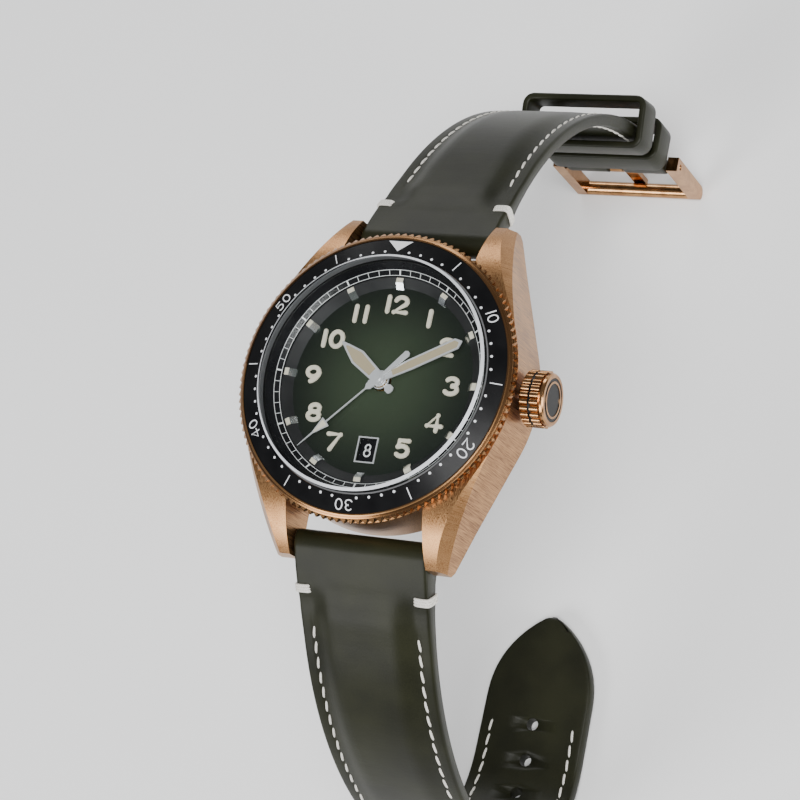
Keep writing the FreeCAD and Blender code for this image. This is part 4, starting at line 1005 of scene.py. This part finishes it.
def crystal_shape():
    """The domed crystal as one smooth solid; its bevel is the second material, a pale ring of painted
    highlight.
    """
    rim, edge = 16.66, 17.04
    top, shoulder, low, under = 13.75, 13.5, 13.12, 11.26
    profile = [(0.0, top)]
    for i in range(1, 13):
        share = i / 12
        profile.append((rim * share, top - (top - shoulder) * share * share))
    profile += [(edge, low), (edge, under), (edge - 0.4, under), (8.0, under), (0.0, under)]
    around = 192
    points = [(0.0, 0.0, top)]
    for r, z in profile[1:-1]:
        points += [(r * math.cos(math.tau * i / around), r * math.sin(math.tau * i / around), z)
                   for i in range(around)]
    points.append((0.0, 0.0, under))
    rows = len(profile) - 2
    faces = []
    for i in range(around):
        j = (i + 1) % around
        faces.append((0, 1 + i, 1 + j))
        for k in range(rows - 1):
            a, b = 1 + k * around, 1 + (k + 1) * around
            faces.append((a + i, b + i, b + j, a + j))
        last = 1 + (rows - 1) * around
        faces.append((last + i, len(points) - 1, last + j))
    mesh = repaired(mesh_from("crystal", points, faces))
    mesh.materials.append(FINISH["sapphire"])
    mesh.materials.append(FINISH["crystal_edge"])
    mesh.materials.append(FINISH["sapphire_inside"])
    # Sides and underside take the inside crystal; the bevel takes the pale ring of painted highlight.
    for face in mesh.polygons:
        if face.normal.z < 0.3:
            face.material_index = 2
        elif face.normal.z < 0.95:
            face.material_index = 1
    for edge_line in mesh.edges:
        a, b = (mesh.vertices[v].co for v in edge_line.vertices)
        level = abs(a.z - b.z) < 1e-7
        round_axis = abs(a.xy.length - b.xy.length) < 1e-7
        if level and round_axis and a.xy.length > (rim - 0.05) * MM:
            edge_line.use_edge_sharp = True
    return mesh


# A thin black ring over the crystal's seat: painted shade where the bronze seat shows through the crystal.
add("crystal_border", annulus(16.66, 17.04, 11.21, 11.21, 0.03), "black", "root")
clear = add("crystal_clear", crystal_shape(), None, "root")
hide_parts("crystal")


def flat_mark(length, width, z, slope, thick=0.02):
    """A printed tick: +X points out from the dial's centre and the tick lies on a cone."""
    mesh = prism([(-length / 2, -width / 2), (length / 2, -width / 2), (length / 2, width / 2),
                  (-length / 2, width / 2)], -thick, thick)
    mesh.transform(Matrix.Translation((0, 0, z * MM)) @ Matrix.Rotation(-math.atan(slope), 4, "Y"))
    return mesh


def flange_height(radius):
    return FLANGE_INNER[1] + (radius - FLANGE_INNER[0]) * FLANGE_SLOPE


def insert_height(radius):
    return INSERT_INNER[1] + (radius - INSERT_INNER[0]) * INSERT_SLOPE


def minute_track():
    """Railway track on the flange: two circles and a tick for each minute."""
    middle = 15.475
    z = flange_height(middle) + 0.01
    rings = []
    for inner, outer in ((15.08, 15.15), (15.80, 15.87)):
        rings.append(annulus(inner, outer, flange_height(inner), flange_height(outer), 0.015))
    thin = round_dial(flat_mark(0.72, 0.07, z, FLANGE_SLOPE), "white", middle, 60, 5, True)
    thick = round_dial(flat_mark(0.72, 0.22, z, FLANGE_SLOPE), "white", middle, 60, 5, False)
    return merged("track", rings + [thin, thick])


def date_numbers():
    """1 to 31 on the date ring; 8 stands in the window, upright, its top to the centre."""
    numbers = []
    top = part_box("date_ring")[1][2] / MM
    for number in range(1, 32):
        mesh = stroke_text(str(number), 1.95, 0.26, 0.16, 0.02, 0.95 if number < 10 else 0.72, 1)
        around = math.tau * (number - 8) / 31
        turn = Matrix.Rotation(around, 4, "Z")
        mesh.transform(turn @ Matrix.Translation(Vector((-0.12, -9.93, top)) * MM))
        numbers.append(mesh)
    return merged("date_numbers", numbers)


add("hour_numerals", hour_numerals(), "lume", "root")
add("minute_track", minute_track(), "white", "root")
add("date_numbers", date_numbers(), "white", "date")


# ---------------------------------------------------------------- bezel marks
def bezel_dots():
    """A dot for each minute between the fives."""
    radius = 17.77
    dot = prism(bend(0, 0, 0.19, 0.19, 0, 337.5, 16), -0.02, 0.02)
    dot.transform(Matrix.Translation((0, 0, insert_height(radius) * MM))
                  @ Matrix.Rotation(-math.atan(INSERT_SLOPE), 4, "Y"))
    return round_dial(dot, "grey", radius, 60, 5, True)


def bezel_lines():
    """Long thin lines at 5, 15, 25, 35, 45 and 55."""
    line = flat_mark(1.7, 0.14, insert_height(MARKS_R), INSERT_SLOPE)
    return round_dial(line, "grey", MARKS_R, 60, 10, False)


def bezel_numerals():
    """10 to 50 round the insert, tops outwards, and the zero triangle."""
    tilt = math.atan(INSERT_SLOPE)
    marks = []
    for number in (10, 20, 30, 40, 50):
        mesh = stroke_text(str(number), 1.62, 0.2, 0.3, 0.025, 1.15, 2)
        mesh.transform(clock_place(number / 5, MARKS_R, insert_height(MARKS_R) - 0.005, tilt))
        marks.append(mesh)
    arrow = prism([(-1.84, 0.82), (0.0, -0.9), (1.84, 0.82)], -0.04, 0.03)
    arrow.transform(clock_place(0, MARKS_R, insert_height(MARKS_R), tilt))
    return merged("numerals", marks + [arrow])


add("bezel_dots", bezel_dots(), "grey", "bezel")
add("bezel_lines", bezel_lines(), "grey", "bezel")
add("bezel_numerals", bezel_numerals(), "grey", "bezel")


# ---------------------------------------------------------------- hands and crown
def seconds_lume():
    """Cream filling on the seconds hand's arrow."""
    mesh = prism([(-0.52, 9.6), (0.52, 9.6), (0.09, 11.6), (-0.09, 11.6)], SECONDS_TOP, SECONDS_TOP + 0.03)
    mesh.transform(Matrix.Rotation(-math.radians(SECONDS_AT), 4, "Z"))
    return mesh


def crown_band(x0, x1, outer, inner):
    """A ring round the crown's axis."""
    profile = [(inner, x0), (outer, x0), (outer, x1), (inner, x1)]
    points, faces, around = [], [], 96
    low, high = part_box("crown_disc")
    centre = (low[2] + high[2]) / 2 / MM
    for i in range(around):
        a = math.tau * i / around
        for radius, x in profile:
            points.append((x, radius * math.cos(a), centre + radius * math.sin(a)))
    for i in range(around):
        j = (i + 1) % around
        for k in range(4):
            m = (k + 1) % 4
            faces.append((4 * i + k, 4 * i + m, 4 * j + m, 4 * j + k))
    return repaired(mesh_from("band", points, faces, smooth=False))


add("seconds_hand_lume", seconds_lume(), "lume", "seconds")
add("crown_groove", crown_band(22.69, 23.02, 3.78, 3.45), "black", "crown")
add("crown_ring", crown_band(24.84, 24.93, 2.55, 2.25), "bronze_crown", "crown")


# ---------------------------------------------------------------- studio
def floor_slab():
    """A wide pale table under the watch."""
    reach = 900
    corners = [(-reach, -reach, 0), (reach, -reach, 0), (reach, reach, 0), (-reach, reach, 0)]
    mesh = mesh_from("floor", corners, [(0, 1, 2, 3)])
    g = Graph("pale_floor")
    clouds = g.noise(g.place(), 0.02, 2.0)
    colour = g.colours(clouds, (0.90, 0.90, 0.90), (0.93, 0.93, 0.93))
    mesh.materials.append(g.surface(Base_Color=colour, Roughness=0.95))
    floor = bpy.data.objects.new("floor", mesh)
    floor.location.z = FLOOR_Z
    bpy.context.scene.collection.objects.link(floor)
    return floor


def softbox(name, direction, distance, size, power, aim=(0.0, 0.0, 6.0)):
    """A square light that looks at the dial from a direction."""
    light = bpy.data.lights.new(name, "AREA")
    light.shape = "RECTANGLE"
    light.size, light.size_y = size
    light.energy = power
    lamp = bpy.data.objects.new(name, light)
    toward = Vector(direction).normalized()
    lamp.location = Vector(aim) * MM + toward * distance
    lamp.rotation_mode = "QUATERNION"
    lamp.rotation_quaternion = toward.to_track_quat("Z", "Y")
    bpy.context.scene.collection.objects.link(lamp)
    return lamp


def long_lens():
    """The camera, high on the crown's side and rolled; returns its axes for the lights."""
    azimuth, elevation, roll = (math.radians(a) for a in (61.40494, 59.764772, -52.740296))
    back = Vector((math.sin(azimuth) * math.cos(elevation), -math.cos(azimuth) * math.cos(elevation),
                   math.sin(elevation)))
    level = Vector((math.cos(azimuth), math.sin(azimuth), 0.0))
    above = back.cross(level)
    right = math.cos(roll) * level + math.sin(roll) * above
    up = math.cos(roll) * above - math.sin(roll) * level
    lens = bpy.data.cameras.new("camera")
    lens.lens = 112.87
    lens.sensor_width = 36.0
    lens.clip_start = 0.01
    camera = bpy.data.objects.new("camera", lens)
    place = Vector((0.0, 0.0, DOTS_Z)) + 3.975 * right - 3.704 * up + 343.45 * back
    turn = Matrix((right, up, back)).transposed().to_4x4()
    camera.matrix_world = Matrix.Translation(place * MM) @ turn
    bpy.context.scene.collection.objects.link(camera)
    bpy.context.scene.camera = camera
    return right, up, back


right, up, back = long_lens()
floor_slab()
softbox("sky", (0.35, -0.25, 1.0), 0.85, (0.40, 0.40), 9.0)
softbox("key_right", right * 0.85 - up * 0.25 + back * 0.50, 0.60, (0.26, 0.42), 3.2)
softbox("left_low", -right * 0.80 - up * 0.50 + back * 0.42, 0.60, (0.30, 0.26), 2.2)
softbox("behind_top", up * 0.93 - right * 0.25 - back * 0.12, 0.60, (0.40, 0.16), 1.2)

world = bpy.data.worlds.new("studio")
world.use_nodes = True
world.node_tree.nodes["Background"].inputs["Color"].default_value = (0.96, 0.98, 1.0, 1.0)
world.node_tree.nodes["Background"].inputs["Strength"].default_value = 0.24
bpy.context.scene.world = world
